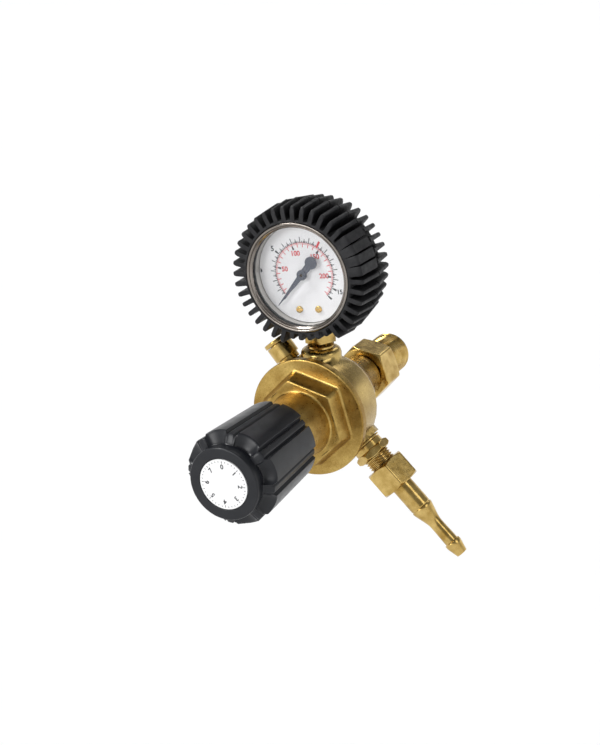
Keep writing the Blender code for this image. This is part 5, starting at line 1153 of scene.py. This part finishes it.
def boot_stations(base, length):
    """Along the boot from its front: the depth, the sleeve's radius and the height of the fins."""
    knee = KNEE_DEPTH
    stations = []
    for depth, missing, share in KNEE_PROFILE:
        stations.append((knee * depth, base - BOOT_WALL * missing, KNEE_HEIGHT * share))
    for i in range(1, BOOT_ROWS + 1):
        t = i / BOOT_ROWS
        height = KNEE_HEIGHT + (FIN_HEIGHT - KNEE_HEIGHT) * t
        stations.append((knee + (WAIST_DEPTH - knee) * t, base, height))
    for depth, height in WAIST_PROFILE:
        stations.append((WAIST_DEPTH + GROOVE_WIDTH * depth, base, height))
    start, _, high = stations[-1]
    for i in range(1, BOOT_ROWS + 1):
        t = i / BOOT_ROWS
        stations.append((start + (length - knee - start) * t, base, high + (TAIL_HEIGHT - high) * t))
    for depth, missing, share in REAR_PROFILE:
        stations.append((length - knee * depth, base - BOOT_WALL * missing, TAIL_HEIGHT * share))
    return stations


def build_boot():
    """The rubber boot: sleeve, forty fins with rounded front ends, and the slot for the stem."""
    y_front, y_back, _ = measured("gauge_boot", GAUGE)
    _, bezel_back, bezel = measured("gauge_bezel", GAUGE)
    inner = bezel + SLIT
    sleeve = bezel - BEZEL_WALL
    base = inner + BOOT_WALL
    samples = fin_samples(base)
    rows = [(inner, y_front)]
    for depth, size, height in boot_stations(base, y_back - y_front):
        rows.append((boot_radii(samples, size, height, depth < BARS_END), y_front + depth))
    y_case = measured("gauge_case", GAUGE)[1] + SLIT
    y_step = bezel_back + SLIT
    rows += [(BOOT_LIP_RADIUS, y_back), (BOOT_LIP_RADIUS, y_case)]
    rows += [(sleeve, y_case), (sleeve, y_step), (inner, y_step)]
    boot = loft("boot_moulding", rows, GAUGE, np.array([sample[0] for sample in samples]))
    y_slot = middle("gauge_washer").y - STEM_HEX_ACROSS / sqrt(3) - SLOT_PLAY
    near, far = inner / 2, 2 * inner
    corners = ((near, SLOT_FROM), (far, SLOT_FROM), (far, SLOT_TO), (near, SLOT_TO))
    outline = [polar(radius, turn) for radius, turn in corners]
    cut(boot, plate("slot_tool", outline, y_slot, y_back + EDGE, GAUGE))
    dress(boot, "rubber", FIXED, "gauge_boot")


# Pieces that keep the shape of their CAD node

SPECIAL_FINISHES = {"body": "satin_brass", "gauge_case": "case_steel"}


def build_the_rest():
    """Every node that no finer piece stands for gets a welded, smooth copy with its finish."""
    replaced = set()
    for thing in bpy.data.objects:
        replaced.update(thing.get("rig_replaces", []))
    for node in sorted(set(BODY_OF) - replaced):
        bm = bmesh.new()
        bm.from_mesh(frame["nodes"][node].data)
        piece = add_piece(node + "_smooth", bm, Matrix.Identity(4))
        dress(piece, SPECIAL_FINISHES.get(node, SLOT_OF[node]), BODY_OF[node], node)


# Studio

def build_floor():
    """A pale floor, which the camera sees as white."""
    low, _ = CAD_BOX
    half = FLOOR_SIZE / 2
    bm = bmesh.new()
    bm.faces.new([bm.verts.new((x * half, y * half, 0.0)) for x, y in ((-1, -1), (1, -1), (1, 1), (-1, 1))])
    floor = add_piece("floor", bm, Matrix.Translation((0.0, 0.0, low[2] - FLOOR_DROP)))
    finish = Finish("floor", FLOOR_TONE, 0.9)
    finish.set_gloss(0.0)
    seen = finish.add("LightPath").outputs["Is Camera Ray"]
    floor.data.materials.append(finish.detailed(finish.blend(seen, FLOOR_TONE, WHITE, "MIX")))


def build_room():
    """A soft grey room that is white near the horizon."""
    world = bpy.data.worlds.new("studio")
    bpy.context.scene.world = world
    world.use_nodes = True
    nodes = Nodes(world.node_tree)
    direction = nodes.add("TexCoord").outputs["Generated"]
    rise = nodes.add("SeparateXYZ", Vector=direction).outputs["Z"]
    room = nodes.ramp(rise, WHITE, ROOM_ABOVE, ROOM_BAND)
    nodes.feed(world.node_tree.nodes["Background"].inputs["Color"], room)


def build_lamps():
    """Soft lamps from the front, the upper left, the right and behind."""
    for name, (strength, spread, azimuth, elevation) in LAMPS.items():
        lamp = bpy.data.lights.new(name, "SUN")
        lamp.energy = strength
        lamp.angle = radians(spread)
        turn, rise = radians(azimuth), radians(elevation)
        towards = Vector((sin(turn) * cos(rise), -cos(turn) * cos(rise), sin(rise)))
        add_object(name, lamp, towards.to_track_quat("Z", "Y").to_matrix().to_4x4())


def build_camera():
    """The camera that the photograph was solved for."""
    backward = CAMERA_RIGHT.cross(-CAMERA_DOWN).normalized()
    columns = (CAMERA_RIGHT, -CAMERA_DOWN, backward)
    camera = bpy.data.cameras.new("photo_camera")
    camera.lens = CAMERA_LENS
    camera.sensor_width = CAMERA_SENSOR
    camera.clip_start = CAMERA_CLIP
    place = Matrix.Translation(CAMERA_PLACE) @ Matrix(columns).transposed().to_4x4()
    bpy.context.scene.camera = add_object("photo_camera", camera, place)


build_bonnet()
build_knob()
build_label()
build_inlet_nut()
build_adapter()
build_outlet_washer()
build_union_nut()
build_hose_tail()
build_relief_valve()
build_relief_cap()
build_bezel()
build_lens()
build_dial()
build_pointer()
build_boot()
build_the_rest()
build_floor()
build_room()
build_lamps()
build_camera()
bpy.context.scene.view_settings.view_transform = "Standard"
